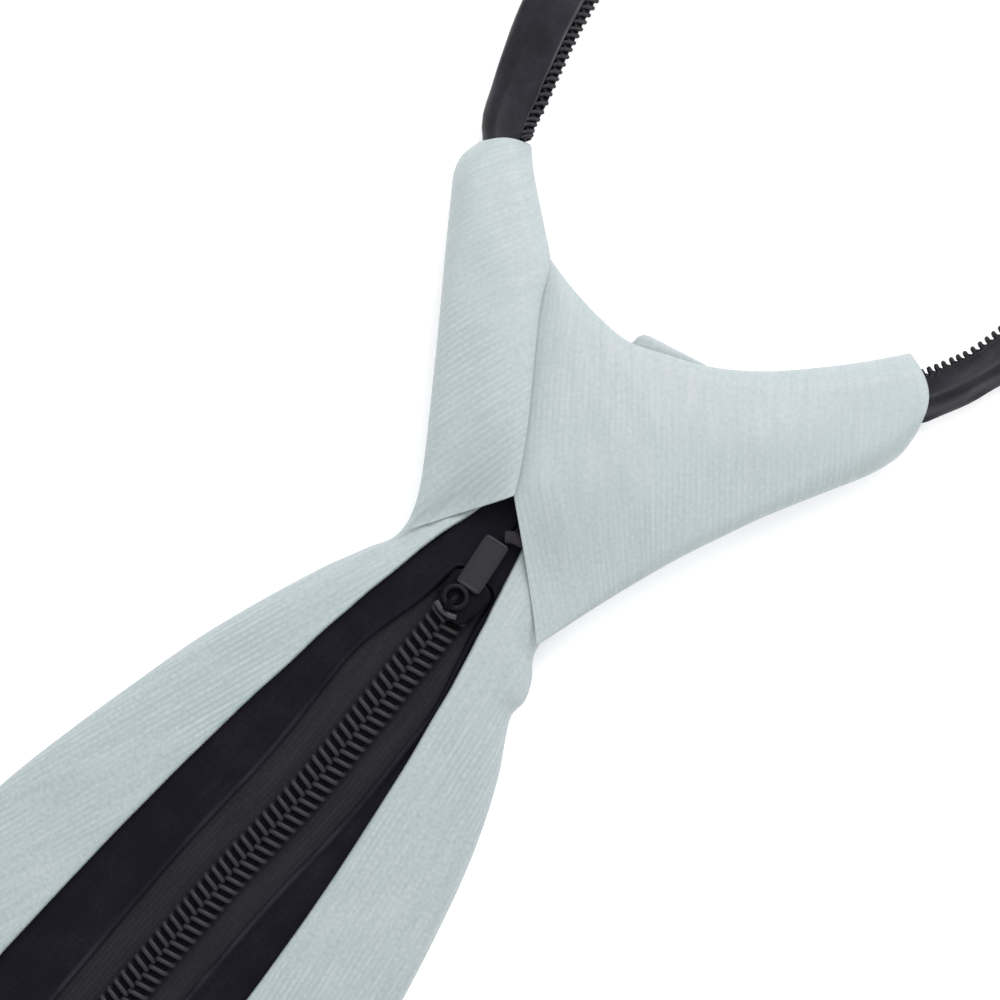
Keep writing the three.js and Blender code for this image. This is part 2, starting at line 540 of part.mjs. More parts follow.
function geometryFromSolid(solid) {
  const mesh = solid.getMesh();
  const g = new THREE.BufferGeometry();
  g.setAttribute("position", new THREE.BufferAttribute(mesh.vertProperties, 3));
  g.setIndex(new THREE.BufferAttribute(mesh.triVerts, 1));
  g.computeVertexNormals();
  return g;
}

function box(x0, x1, y0, y1, z0, z1) {
  return new THREE.BoxGeometry(x1 - x0, y1 - y0, z1 - z0)
    .translate((x0 + x1) / 2, (y0 + y1) / 2, (z0 + z1) / 2);
}

// Plate with two round corners at its lower end and a waist, in plan
function plate(width, length, low, thickness) {
  const [w, l] = [width / 2, length / 2];
  const shape = new THREE.Shape();
  shape.moveTo(-w * 0.72, -l);
  shape.lineTo(w * 0.72, -l);
  shape.quadraticCurveTo(w * 0.86, -l * 0.4, w, l * 0.3);
  shape.quadraticCurveTo(w, l, w * 0.45, l);
  shape.lineTo(-w * 0.45, l);
  shape.quadraticCurveTo(-w, l, -w, l * 0.3);
  shape.quadraticCurveTo(-w * 0.86, -l * 0.4, -w * 0.72, -l);
  return new THREE.ExtrudeGeometry(shape, { depth: thickness, bevelEnabled: false, curveSegments: 4 })
    .translate(0, 0, low);
}

// Heights of the slider's parts, from the underside of the lower plate up
function sliderHeights() {
  const tape = atY(TAIL, "z", SLIDER.y);
  const over = tape + TAPE_THICKNESS + GAP + COIL_HEIGHT + SLIDER.mouth;
  const tab = over + SLIDER.plate + GAP;
  return {
    under: tape - GAP - SLIDER.plate,
    side: tape + TAPE_THICKNESS + GAP,
    over,
    top: over + SLIDER.plate,
    tab,
    bar: tab + TAB.thickness + GAP,
  };
}

// Slider: plates above and below the chain, a post between them, side walls over the coils and
// a bridge for the pull. Each part is sunk a little into the next one.
function sliderGeometry() {
  const z = sliderHeights();
  const sink = 0.2;
  const half = SLIDER.width / 2;
  const barTop = z.bar + BRIDGE.bar;
  const foot = (y0, y1) =>
    box(-BRIDGE.width / 2, BRIDGE.width / 2, y0, y1, z.top - sink, barTop - sink);
  const parts = [
    plate(SLIDER.width, SLIDER.length, z.under, SLIDER.plate),
    plate(SLIDER.width, SLIDER.length, z.over, SLIDER.plate),
    box(-0.9, 0.9, 2.0, 3.8, z.under + sink, z.top - sink),
    box(-half, SLIDER.wall - half, -1.2, 3, z.side, z.over + sink),
    box(half - SLIDER.wall, half, -1.2, 3, z.side, z.over + sink),
    foot(BRIDGE.upper - BRIDGE.foot, BRIDGE.upper),
    foot(BRIDGE.lower, BRIDGE.lower + BRIDGE.foot),
    box(-BRIDGE.width / 2, BRIDGE.width / 2, BRIDGE.lower, BRIDGE.upper, z.bar, barTop),
  ];
  const joined = parts.map(solidOf).reduce((sum, s) => sum.add(s));
  return geometryFromSolid(joined).translate(SLIDER.x, SLIDER.y, 0);
}

// Pull: a flat tab with a ring at its lower end, around the slider's bridge
function tabGeometry() {
  const half = TAB.width / 2;
  const shoulder = 1.9;
  const end = shoulder + TAB.length;
  const chamfer = 0.6;
  const open = Math.PI * 0.22; // where the ring runs into the tab
  const outline = new THREE.Shape();
  outline.absellipse(0, 0, RING.outerX, RING.outerY, Math.PI - open, open, false);
  outline.lineTo(half, shoulder);
  outline.lineTo(half, end - chamfer);
  outline.lineTo(half - chamfer, end);
  outline.lineTo(chamfer - half, end);
  outline.lineTo(-half, end - chamfer);
  outline.lineTo(-half, shoulder);
  const hole = new THREE.Path();
  hole.absellipse(0, 0, RING.innerX, RING.innerY, 0, 2 * Math.PI, true);
  outline.holes.push(hole);
  return new THREE.ExtrudeGeometry(outline,
    { depth: TAB.thickness, bevelEnabled: false, curveSegments: 12 });
}

// Short tape that holds the pull's end to the knot
function pullTapeGeometry() {
  const z = sliderHeights().tab + 0.1;
  const route = [[2.3, -5.0], [3.4, -4.25], [5.4, -3.7], [8.6, -2.4]];
  const [wide, thick] = [0.95, 0.7];
  return loft(route.map(([x, y], i) => {
    const p = route[Math.max(0, i - 1)];
    const q = route[Math.min(route.length - 1, i + 1)];
    const along = new THREE.Vector2(q[0] - p[0], q[1] - p[1]).normalize();
    return [[-wide, 0], [wide, 0], [wide, thick], [-wide, thick]].map(([sideways, up]) =>
      new THREE.Vector3(x - along.y * sideways, y + along.x * sideways, z + up));
  }));
}

// Corner of the knot's cloth that shows past the right wing's upper edge
function tuckGeometry() {
  const shape = new THREE.Shape();
  shape.moveTo(-1.8, 23.5);
  shape.lineTo(-1.8, 29.4);
  shape.quadraticCurveTo(-1.7, 30.4, -0.4, 30.8);
  shape.lineTo(8.9, 32.9);
  shape.lineTo(12, 24.5);
  return new THREE.ExtrudeGeometry(shape, { depth: 1.1, bevelEnabled: false, curveSegments: 3 })
    .translate(0, 0, 8.7);
}

// Lining that shows between the hems behind the tip
function tipLiningGeometry() {
  const low = BLADE_WALL + GAP;
  const top = low + 0.5;
  const rows = [
    { y: -368, half: 1 },
    { y: -396, half: 18.5 },
    { y: TIP_START, half: 32.5 },
    { y: -431, half: 19.6 },
    { y: -436, half: 14.8 },
    { y: -449, half: 1.9 },
  ];
  return loft(rows.map(({ y, half }) => {
    const corners = [[-half, low], [half, low], [half, top], [-half, top]];
    return corners.map(([x, z]) => new THREE.Vector3(BLADE_CENTRE + x, y, z));
  }));
}

// Sleeve round both ends of the neck zip
function napeGeometry() {
  const ring = (x, width, height) => Array.from({ length: 16 }, (_, k) => {
    const a = 2 * Math.PI * k / 16;
    const y = Math.sign(Math.cos(a)) * Math.pow(Math.abs(Math.cos(a)), 0.6) * width / 2;
    const z = Math.sign(Math.sin(a)) * Math.pow(Math.abs(Math.sin(a)), 0.6) * height / 2;
    return new THREE.Vector3(x, NAPE.y + y, NAPE.height / 2 + z);
  });
  const half = NAPE.length / 2;
  const outer = loft([-half, half].map((x) => ring(x, NAPE.width, NAPE.height)));
  const hollow = loft([-half - 1, half + 1].map((x) =>
    ring(x, NAPE.width - 2 * NAPE.wall, NAPE.height - 2 * NAPE.wall)));
  return geometryFromSolid(solidOf(outer).subtract(solidOf(hollow)));
}

function finish(name, color, roughness, metalness = 0) {
  return new THREE.MeshStandardMaterial({ name, color, roughness, metalness });
}

const FINISHES = {
  cloth: finish("ribbed_cloth", 0xc4d2d3, 0.55),
  satin: finish("black_satin", 0x1e1c26, 0.38),
  tape: finish("zip_tape", 0x2d2b30, 0.8),
  coil: finish("zip_coil", 0x232126, 0.42),
  metal: finish("dark_metal", 0x37353a, 0.45, 0.5),
};

const tie = new THREE.Group();

function piece(name, geometry, kind, parent = tie) {
  const mesh = new THREE.Mesh(geometry, FINISHES[kind].clone());
  mesh.name = name;
  parent.add(mesh);
}

piece("blade", bladeGeometry(), "cloth");
piece("tip_lining", tipLiningGeometry(), "cloth");
piece("knot_band", bandGeometry(), "cloth");
piece("left_wing", wingGeometry(LEFT_WING, 1), "cloth");
piece("right_wing", wingGeometry(RIGHT_WING, -1), "cloth");
piece("knot_tuck", tuckGeometry(), "cloth");

for (const [name, side] of [["left", -1], ["right", 1]]) {
  piece(name + "_placket", placketGeometry(side), "satin");
  piece(name + "_tape", tapeGeometry(side), "tape");
  piece(name + "_coil", coilGeometry(side), "coil");
  const table = side < 0 ? LEFT_NECK : RIGHT_NECK;
  piece(name + "_neck_strap", neckStrapGeometry(table, side), "satin");
  piece(name + "_neck_coil", neckCoilGeometry(table, side), "coil");
}
piece("tail_end", tailEndGeometry(), "satin");
piece("nape_sleeve", napeGeometry(), "satin");

piece("slider", sliderGeometry(), "metal");
const pull = new THREE.Group();
pull.position.set(TAB.x, TAB.y, sliderHeights().tab);
pull.rotation.z = TAB.turn;
tie.add(pull);
piece("pull_tab", tabGeometry(), "metal", pull);
piece("pull_tape", pullTapeGeometry(), "tape");

export default tie;
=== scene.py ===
# %% [markdown]
# # A zip necktie, lying face down
# The tie lies on its front, so we look at its back: two wings of ribbed cloth meet at the knot,
# the blade is folded round to two flaps, and a closed zip on black satin shows between them.
# The construction model already has every piece in its true place. This script dresses it: each
# plain solid is replaced by a surface with folds, ribs, teeth and stitches in the same place.

# %% Load the construction model
import math
import bpy
import numpy as np
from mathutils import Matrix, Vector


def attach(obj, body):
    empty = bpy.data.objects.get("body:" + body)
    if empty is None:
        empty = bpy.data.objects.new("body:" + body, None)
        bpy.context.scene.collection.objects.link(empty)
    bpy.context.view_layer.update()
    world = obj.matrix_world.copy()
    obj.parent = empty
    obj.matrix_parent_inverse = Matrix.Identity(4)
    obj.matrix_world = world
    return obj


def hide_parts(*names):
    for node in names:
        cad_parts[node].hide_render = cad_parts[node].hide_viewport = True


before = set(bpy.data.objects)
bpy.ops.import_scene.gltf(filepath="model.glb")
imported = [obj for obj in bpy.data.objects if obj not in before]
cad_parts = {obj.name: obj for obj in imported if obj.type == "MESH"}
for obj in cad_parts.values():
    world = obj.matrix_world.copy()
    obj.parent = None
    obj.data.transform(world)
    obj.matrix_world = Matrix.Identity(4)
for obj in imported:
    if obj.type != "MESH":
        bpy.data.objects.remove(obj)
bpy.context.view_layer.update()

MM = 0.001
print("pieces in the construction model:", len(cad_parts))

# %% [markdown]
# ## The camera
# The tie is seen from straight above, turned so that its axis runs up to the right. A long lens
# from far away keeps the picture free of perspective. The camera is made first, because
# everything after it is judged through it.

# %% Camera above the knot
VIEW_CENTRE = np.array([-1.7, -1.4, 8.0])
VIEW_WIDTH = 145.0
VIEW_TURN = math.radians(40.2)
CAMERA_HEIGHT = 2400.0

camera = bpy.data.objects.new("camera", bpy.data.cameras.new("camera"))
camera.data.sensor_width = 36.0
camera.data.lens = camera.data.sensor_width * (CAMERA_HEIGHT - VIEW_CENTRE[2]) / VIEW_WIDTH
camera.data.clip_end = 20.0
camera.location = (VIEW_CENTRE[0] * MM, VIEW_CENTRE[1] * MM, CAMERA_HEIGHT * MM)
camera.rotation_euler = (0.0, 0.0, VIEW_TURN)
bpy.context.scene.collection.objects.link(camera)
bpy.context.scene.camera = camera
print("lens:", round(camera.data.lens), "mm")

# %% [markdown]
# ## Tables and smooth curves
# Cloth is easiest to describe by a few sections: where its edges lie and how high it stands, a
# row of numbers for each. A cubic curve through each column then gives every section between.
# The tables are in millimetres, as the construction model's are, and turn into metres only
# when a mesh is made.

# %% Tables with named columns
def table(columns, rows):
    """Columns of numbers by name, from rows of numbers."""
    values = np.array(rows, float)
    return {name: values[:, k] for k, name in enumerate(columns.split())}


def through(rows, name, position):
    """Cubic through one column: position k is row k, and the slope at a row is half the step
    between its neighbours."""
    values = rows[name]
    last = len(values) - 1
    i = np.clip(np.floor(position).astype(int), 0, last - 1)
    f = position - i
    p0, p1, p2, p3 = (values[np.clip(i + k, 0, last)] for k in (-1, 0, 1, 2))
    m1, m2 = (p2 - p0) / 2, (p3 - p1) / 2
    return ((2 * f**3 - 3 * f**2 + 1) * p1 + (f**3 - 2 * f**2 + f) * m1
            + (3 * f**2 - 2 * f**3) * p2 + (f**3 - f**2) * m2)


def at_y(rows, name, y):
    """The same curve, asked for by y in a table that runs towards -Y."""
    order = np.arange(len(rows["y"]), dtype=float)
    return through(rows, name, np.interp(-np.asarray(y, float), -rows["y"], order))


def mix(a, b, f):
    """Straight line from a, at 0, to b, at 1."""
    return a + (b - a) * f


def unevenness(points, size, seed):
    """Slow unevenness between about -1 and 1: the mean of six sine waves of about this size in
    fixed chance directions."""
    chance = np.random.default_rng(seed)
    ways = chance.normal(size=(6, 3))
    ways /= np.linalg.norm(ways, axis=1, keepdims=True)
    waves = ways / (size * chance.uniform(0.7, 1.4, (6, 1)))
    return 2 * np.sin(2 * np.pi * (points @ waves.T) + chance.uniform(0, 6.28, 6)).mean(axis=-1)


# %% [markdown]
# ## From grids of points to closed meshes
# Two forms make nearly everything here. A **wall** starts from a sheet, a grid of points, and
# gets its inner face by going a wall's thickness along the sheet's normals. A **loft** is a
# row of closed rings, such as a wire or a bar. Both are worked out as whole arrays, and a
# Solidify modifier could make the wall too, but this way its edges come out rounded.

# %% Grids and their faces
def unit(v):
    """Each vector divided by its length."""
    return v / np.maximum(np.linalg.norm(v, axis=-1, keepdims=True), 1e-12)


def sheet_normals(grid):
    """At each point, the cross product of the directions along the row and down the column."""
    return unit(np.cross(np.gradient(grid, axis=0), np.gradient(grid, axis=1)))


def grid_faces(rows, columns, around=True):
    """Quads of a grid, joined from its last column to its first when it goes around."""
    i, j = np.meshgrid(np.arange(rows - 1), np.arange(columns if around else columns - 1),
                       indexing="ij")
    k = (j + 1) % columns
    quads = np.stack([i * columns + j, i * columns + k, (i + 1) * columns + k,
                      (i + 1) * columns + j], axis=-1)
    return quads.reshape(-1, 4)


def facing_out(points, quads, triangles):
    """The same closed mesh, with its faces turned round if its volume comes out negative."""
    split = np.concatenate([quads[:, :3], quads[:, [0, 2, 3]], triangles])
    a, b, c = (points[split[:, k]] for k in range(3))
    if np.einsum("ij,ij->i", a, np.cross(b, c)).sum() < 0:
        quads, triangles = quads[:, ::-1], triangles[:, ::-1]
    return points, quads, triangles


# %% Walls
# Shares of a wall's thickness: the room left at a sheet's edges, how far its rounded edges and
# its ends stand out, and how much of the first and last ring is left.
EDGE_ROOM = 0.38
EDGE_REACH = 0.4
END_REACH = 0.35
END_SIZE = 0.5


def drawn_in(grid, amount):
    """The sheet with its first and last row and column moved inwards by an amount, to leave
    room for the rounded edges that a wall adds there. No step loses more than
    four fifths of its length."""
    grid = grid.copy()
    for axis in (0, 1):
        turned = np.swapaxes(grid, 0, axis)
        for edge, inner in ((0, 1), (-1, -2)):
            way = turned[inner] - turned[edge]
            reach = np.linalg.norm(way, axis=-1, keepdims=True)
            turned[edge] = turned[edge] + way * np.minimum(amount / np.maximum(reach, 1e-9), 0.8)
        grid = np.swapaxes(turned, 0, axis)
    return grid


def wall(outer, thickness, side, uv):
    """Closed wall round a sheet. Its section is a ring: outer face, rounded edge, inner face,
    rounded edge. The ring shrinks a little at the first and last row, so those are rounded."""
    outer = drawn_in(outer, EDGE_ROOM * float(np.max(thickness)))
    thickness = np.broadcast_to(np.asarray(thickness, float), outer.shape[:2])[..., None]
    inner = outer - side * thickness * sheet_normals(outer)
    middle = (outer + inner) / 2
    columns = outer.shape[1]
    way_a, way_b = middle[:, :1] - middle[:, 1:2], middle[:, -1:] - middle[:, -2:-1]
    edge_a = middle[:, :1] + EDGE_REACH * thickness[:, :1] * unit(way_a)
    edge_b = middle[:, -1:] + EDGE_REACH * thickness[:, -1:] * unit(way_b)
    ring = np.concatenate([outer, edge_b, inner[:, ::-1], edge_a], axis=1)
    core = np.concatenate([middle, middle[:, -1:], middle[:, ::-1], middle[:, :1]], axis=1)
    depth = np.concatenate([thickness, thickness[:, -1:], thickness[:, ::-1],
                            thickness[:, :1]], axis=1)
    uv_ring = np.concatenate([uv, uv[:, -1:], uv[:, ::-1], uv[:, :1]], axis=1)

    def end(k, inner):
        """The ring at one end, shrunk towards the wall's middle and moved outwards."""
        outwards = END_REACH * depth[k] * unit(core[k] - core[inner])
        return (core[k] + END_SIZE * (ring[k] - core[k]) + outwards)[None]

    rings = np.concatenate([end(0, 1), ring, end(-1, -2)])
    uv_rings = np.concatenate([uv_ring[:1], uv_ring, uv_ring[-1:]])
    around = 2 * columns + 2
    j = np.arange(columns - 1)
    cap = np.stack([j, 2 * columns - j, 2 * columns - j - 1, j + 1], axis=-1)
    ends = np.array([[0, 2 * columns + 1, 2 * columns], [columns - 1, columns + 1, columns]])
    base = (len(rings) - 1) * around
    quads = np.concatenate([grid_faces(len(rings), around), cap, cap[:, ::-1] + base])
    triangles = np.concatenate([ends, ends[:, ::-1] + base])
    points, quads, triangles = facing_out(rings.reshape(-1, 3), quads, triangles)
    return points, quads, triangles, uv_rings.reshape(-1, 2)


# %% Lofts, and what a sheet was cut to
def loft(rings, closed=False, uv=None):
    """Closed solid through rings of points. Its ends are fans to their middles, or its last
    ring joins its first."""
    rows, columns = rings.shape[:2]
    points = rings.reshape(-1, 3)
    if closed:
        turned = np.concatenate([rings, rings[:1]])
        quads = grid_faces(len(turned), columns) % len(points)
        triangles = np.empty((0, 3), int)
    else:
        quads = grid_faces(rows, columns)
        j = np.arange(columns)
        k = (j + 1) % columns
        base = (rows - 1) * columns
        first = np.stack([k, j, np.full(columns, rows * columns)], axis=-1)
        last = np.stack([j + base, k + base, np.full(columns, rows * columns + 1)], axis=-1)
        triangles = np.concatenate([first, last])
        points = np.concatenate([points, rings[[0, -1]].mean(axis=1)])
    flat = np.zeros((len(points), 2))
    if uv is not None:
        flat[:rows * columns] = uv.reshape(-1, 2)
    points, quads, triangles = facing_out(points, quads, triangles)
    return points, quads, triangles, flat


def flat_size(sheet):
    """What a sheet was cut to: its widest row and longest column, laid flat, and its area."""
    across = np.linalg.norm(np.diff(sheet, axis=1), axis=2)
    along = np.linalg.norm(np.diff(sheet, axis=0), axis=2)
    corners = np.cross(sheet[1:, 1:] - sheet[:-1, :-1], sheet[1:, :-1] - sheet[:-1, 1:])
    area = np.linalg.norm(corners, axis=2).sum() / 2
    return across.sum(axis=1).max() * MM, along.sum(axis=0).max() * MM, area * MM * MM


# %% Put solids into one Blender mesh
def add_piece(name, solids, material, replaces=(), cut=None):
    """One object from closed solids, in metres, that rides on the tie and takes the place of
    the named nodes. `cut` is the width, length and area of the cloth that it was cut from."""
    start, points, faces, uvs = 0, [], [], []
    for p, quads, triangles, uv in solids:
        points.append(p * MM)
        faces += (quads + start).tolist() + (triangles + start).tolist()
        uvs.append(uv * MM)
        start += len(p)
    mesh = bpy.data.meshes.new(name)
    mesh.from_pydata(np.concatenate(points).tolist(), [], faces)
    corner = np.empty(len(mesh.loops), int)
    mesh.loops.foreach_get("vertex_index", corner)
    layer = mesh.uv_layers.new(name="weave")
    layer.data.foreach_set("uv", np.concatenate(uvs)[corner].astype(np.float32).ravel())
    mesh.polygons.foreach_set("use_smooth", np.ones(len(mesh.polygons), bool))
    mesh.materials.append(material)
    mesh.update()
    piece = bpy.data.objects.new(name, mesh)
    bpy.context.scene.collection.objects.link(piece)
    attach(piece, "root")
    if replaces:
        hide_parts(*replaces)
    note = f"{name}: {len(faces)} faces"
    if cut:
        width, length, area = cut
        note += f", cut {width / MM:.0f} x {length / MM:.0f} mm"
    print(note)


# %% [markdown]
# ## Finishes
# The tie has three kinds of finish. Ribbed cloth, satin, zip tape and thread are all woven, so
# they share one node group for ribs and threads. The teeth are nylon, and the slider and its
# pull are dark painted metal. A pattern that follows the cloth reads each piece's own map,
# called weave, whose units are metres, so ribs keep their true spacing however the cloth turns.
# A picture of cloth could be laid on instead, but it would blur close up.

# %% Colours, groups and maths nodes
def linear(red, green, blue):
    """Linear colour from the everyday 0 to 255 numbers."""
    share = np.array([red, green, blue]) / 255
    low = share / 12.92
    high = ((share + 0.055) / 1.055) ** 2.4
    return (*np.where(share <= 0.04045, low, high).tolist(), 1.0)


def new_group(name, inputs, outputs):
    """Empty node group with number inputs (name, value) and named outputs."""
    group = bpy.data.node_groups.new(name, "ShaderNodeTree")
    for label, value in inputs:
        socket = group.interface.new_socket(label, in_out="INPUT", socket_type="NodeSocketFloat")
        socket.default_value = value
    for label in outputs:
        group.interface.new_socket(label, in_out="OUTPUT", socket_type="NodeSocketFloat")
    return group, group.nodes.new("NodeGroupInput"), group.nodes.new("NodeGroupOutput")


def maths(tree, operation, a, b=None):
    """Math node whose inputs are sockets or plain numbers."""
    node = tree.nodes.new("ShaderNodeMath")
    node.operation = operation
    for k, value in enumerate((a, b)):
        if value is None:
            continue
        if isinstance(value, bpy.types.NodeSocket):
            tree.links.new(value, node.inputs[k])
        else:
            node.inputs[k].default_value = value
    return node.outputs[0]


# %% Patterns from nodes
def noise(tree, vector, scale, detail=2.0):
    """Soft random spots, 0 to 1, about 1 / scale apart."""
    node = tree.nodes.new("ShaderNodeTexNoise")
    node.inputs["Scale"].default_value = scale
    node.inputs["Detail"].default_value = detail
    tree.links.new(vector, node.inputs["Vector"])
    return node.outputs["Fac"]


def weave_map(tree):
    """The piece's own map, as a vector and as its two numbers."""
    node = tree.nodes.new("ShaderNodeUVMap")
    node.uv_map = "weave"
    split = tree.nodes.new("ShaderNodeSeparateXYZ")
    tree.links.new(node.outputs["UV"], split.inputs[0])
    return node.outputs["UV"], split.outputs[0], split.outputs[1]


def wave(tree, value, pitch):
    """0 to 1 to 0 over each pitch."""
    turns = maths(tree, "DIVIDE", value, pitch)
    cosine = maths(tree, "COSINE", maths(tree, "MULTIPLY", turns, 2 * math.pi))
    return maths(tree, "ADD", maths(tree, "MULTIPLY", cosine, 0.5), 0.5)


def remap(tree, value, low, high, to_low=0.0, to_high=1.0):
    """Straight line from (low, to_low) to (high, to_high), level beyond both."""
    node = tree.nodes.new("ShaderNodeMapRange")
    for label, number in (("From Min", low), ("From Max", high), ("To Min", to_low),
                          ("To Max", to_high)):
        node.inputs[label].default_value = number
    tree.links.new(value, node.inputs["Value"])
    return node.outputs["Result"]


# %% Node group: threads of a weave
def make_weave_group():
    """Ribs one way and finer threads the other: two cosine waves, with a slow wander so that
    no rib is ruled. Noise makes the ribs clear in some patches and faint in others. It gives
    the height of the cloth, how deep a point lies between two ribs, and two kinds of spots."""
    group, given, out = new_group("weave", [
        ("Rib pitch", 0.0011), ("Thread pitch", 0.0004), ("Thread share", 0.25),
        ("Wander", 0.00012), ("Clearness", 1.0)], ["Height", "Groove", "Slub", "Grain"])
    uv, across, along = weave_map(group)
    drift = maths(group, "SUBTRACT", noise(group, uv, 140.0), 0.5)
    shift = maths(group, "MULTIPLY", drift, maths(group, "MULTIPLY", given.outputs["Wander"], 4.0))
    ruled = wave(group, maths(group, "ADD", across, shift), given.outputs["Rib pitch"])
    clear = remap(group, noise(group, uv, 75.0, 3.0), 0.42, 0.64, 0.1, 1.0)
    clear = maths(group, "MULTIPLY", clear, given.outputs["Clearness"])
    swing = maths(group, "MULTIPLY", maths(group, "SUBTRACT", ruled, 0.5), clear)
    rib = maths(group, "ADD", swing, 0.5)
    thread = wave(group, maths(group, "ADD", along, shift), given.outputs["Thread pitch"])
    share = given.outputs["Thread share"]
    rib_part = maths(group, "MULTIPLY", rib, maths(group, "SUBTRACT", 1.0, share))
    height = maths(group, "ADD", rib_part, maths(group, "MULTIPLY", thread, share))
    stretch = group.nodes.new("ShaderNodeCombineXYZ")
    group.links.new(across, stretch.inputs[0])
    group.links.new(maths(group, "MULTIPLY", along, 0.12), stretch.inputs[1])
    slub = noise(group, stretch.outputs[0], 900.0, 3.0)
    group.links.new(height, out.inputs["Height"])
    group.links.new(maths(group, "SUBTRACT", 1.0, rib), out.inputs["Groove"])
    group.links.new(slub, out.inputs["Slub"])
    group.links.new(noise(group, uv, 1500.0, 2.0), out.inputs["Grain"])
    return group


WEAVE = make_weave_group()


# %% Parts of a material
def material_with(name, roughness, specular=0.5, metallic=0.0):
    """New material with its plain numbers set on its own shader."""
    material = bpy.data.materials.new(name)
    material.use_nodes = True
    shader = material.node_tree.nodes["Principled BSDF"]
    shader.inputs["Roughness"].default_value = roughness
    shader.inputs["Specular IOR Level"].default_value = specular
    shader.inputs["Metallic"].default_value = metallic
    return material, material.node_tree, shader


def blend_colours(tree, factor, a, b):
    """Colour a where the factor is 0 and b where it is 1. Both may be sockets or colours."""
    node = tree.nodes.new("ShaderNodeMix")
    node.data_type = "RGBA"
    node.clamp_factor = True
    tree.links.new(factor, node.inputs["Factor"])
    for socket, colour in ((node.inputs["A"], a), (node.inputs["B"], b)):
        if isinstance(colour, bpy.types.NodeSocket):
            tree.links.new(colour, socket)
        else:
            socket.default_value = colour
    return node.outputs["Result"]


def bump(tree, shader, height, distance):
    """Height, 0 to 1, as a relief that many metres deep."""
    node = tree.nodes.new("ShaderNodeBump")
    node.inputs["Distance"].default_value = distance
    node.inputs["Strength"].default_value = 1.0
    tree.links.new(height, node.inputs["Height"])
    tree.links.new(node.outputs["Normal"], shader.inputs["Normal"])


def place_weave(tree, rib, thread, share):
    """The weave's node group with this cloth's own spacing."""
    node = tree.nodes.new("ShaderNodeGroup")
    node.node_tree = WEAVE
    for label, value in (("Rib pitch", rib), ("Thread pitch", thread), ("Thread share", share),
                         ("Wander", rib * 0.09)):
        node.inputs[label].default_value = value
    return node


def object_coordinates(tree):
    """The place on the piece, in metres."""
    return tree.nodes.new("ShaderNodeTexCoord").outputs["Object"]


# %% Woven finishes
# Painted highlight along a fold's edge: how far in from its edge that fades, and how far down
# the zip it starts, in metres.
FOLD_HIGHLIGHT_REACH = (0.00035, 0.0009)
FOLD_HIGHLIGHT_FROM = (-0.024, -0.050)


def fold_highlight_share(tree):
    """How strong the painted highlight on a folded strip is: most at its edge, where the map's
    first number is 0, only below the slider, and in patches."""
    _, across, along = weave_map(tree)
    near = remap(tree, maths(tree, "ABSOLUTE", across), *FOLD_HIGHLIGHT_REACH, 1.0, 0.0)
    below = remap(tree, along, *FOLD_HIGHLIGHT_FROM)
    patches = remap(tree, noise(tree, object_coordinates(tree), 150.0), 0.35, 0.6, 0.25, 0.85)
    return maths(tree, "MULTIPLY", maths(tree, "MULTIPLY", near, below), patches)


def woven(name, ridge, groove, tint, rib, thread, share, relief, roughness, specular,
          patch_scale=45.0, gloss=None, clearness=None, wear_and_highlight=None):
    """Woven finish: ridge and groove colours across the ribs, a slow drift towards a third
    tint, threads of uneven darkness, and the weave's height as bump. `gloss` tints its shine.
    `clearness` gives two places in y and how clear the ribs are there, for cloth that is
    stretched smooth. `wear_and_highlight` is the colour of a painted highlight along a fold's edge."""
    material, tree, shader = material_with(name, roughness, specular)
    weave = place_weave(tree, rib, thread, share)
    uneven_most = 0.75
    if clearness:
        split = tree.nodes.new("ShaderNodeSeparateXYZ")
        tree.links.new(object_coordinates(tree), split.inputs[0])
        clear = remap(tree, split.outputs[1], *clearness)
        tree.links.new(clear, weave.inputs["Clearness"])
        uneven_most = maths(tree, "ADD", maths(tree, "MULTIPLY", clear, 0.32), 0.52)
    groove_share = remap(tree, weave.outputs["Groove"], 0.35, 1.0)
    ribs = blend_colours(tree, groove_share, ridge, groove)
    patches = noise(tree, object_coordinates(tree), patch_scale)
    drifted = blend_colours(tree, remap(tree, patches, 0.35, 0.7, 0.0, 0.6), ribs, tint)
    spots = maths(tree, "ADD", maths(tree, "MULTIPLY", weave.outputs["Slub"], 0.4),
                  maths(tree, "MULTIPLY", weave.outputs["Grain"], 0.6))
    uneven = maths(tree, "MULTIPLY", remap(tree, spots, 0.36, 0.66), uneven_most)
    colour = blend_colours(tree, uneven, drifted, groove)
    # Painted highlight: a paler colour along the fold's edge.
    if wear_and_highlight:
        colour = blend_colours(tree, fold_highlight_share(tree), colour, wear_and_highlight)
    tree.links.new(colour, shader.inputs["Base Color"])
    rough = remap(tree, weave.outputs["Slub"], 0.3, 0.7, roughness - 0.06, roughness + 0.08)
    tree.links.new(rough, shader.inputs["Roughness"])
    bump(tree, shader, weave.outputs["Height"], relief)
    if gloss:
        shader.inputs["Specular Tint"].default_value = gloss
    return material


# %% Cloth, satin, tape and thread
CLOTH = woven(
    "ribbed_cloth", ridge=linear(172, 184, 184), groove=linear(151, 166, 166),
    tint=linear(173, 180, 182), rib=0.00084, thread=0.00040, share=0.12, relief=0.000018,
    roughness=0.50, specular=0.4, gloss=(1.0, 0.62, 0.86, 1.0),
    clearness=(-0.045, 0.036, 1.5, 0.25))

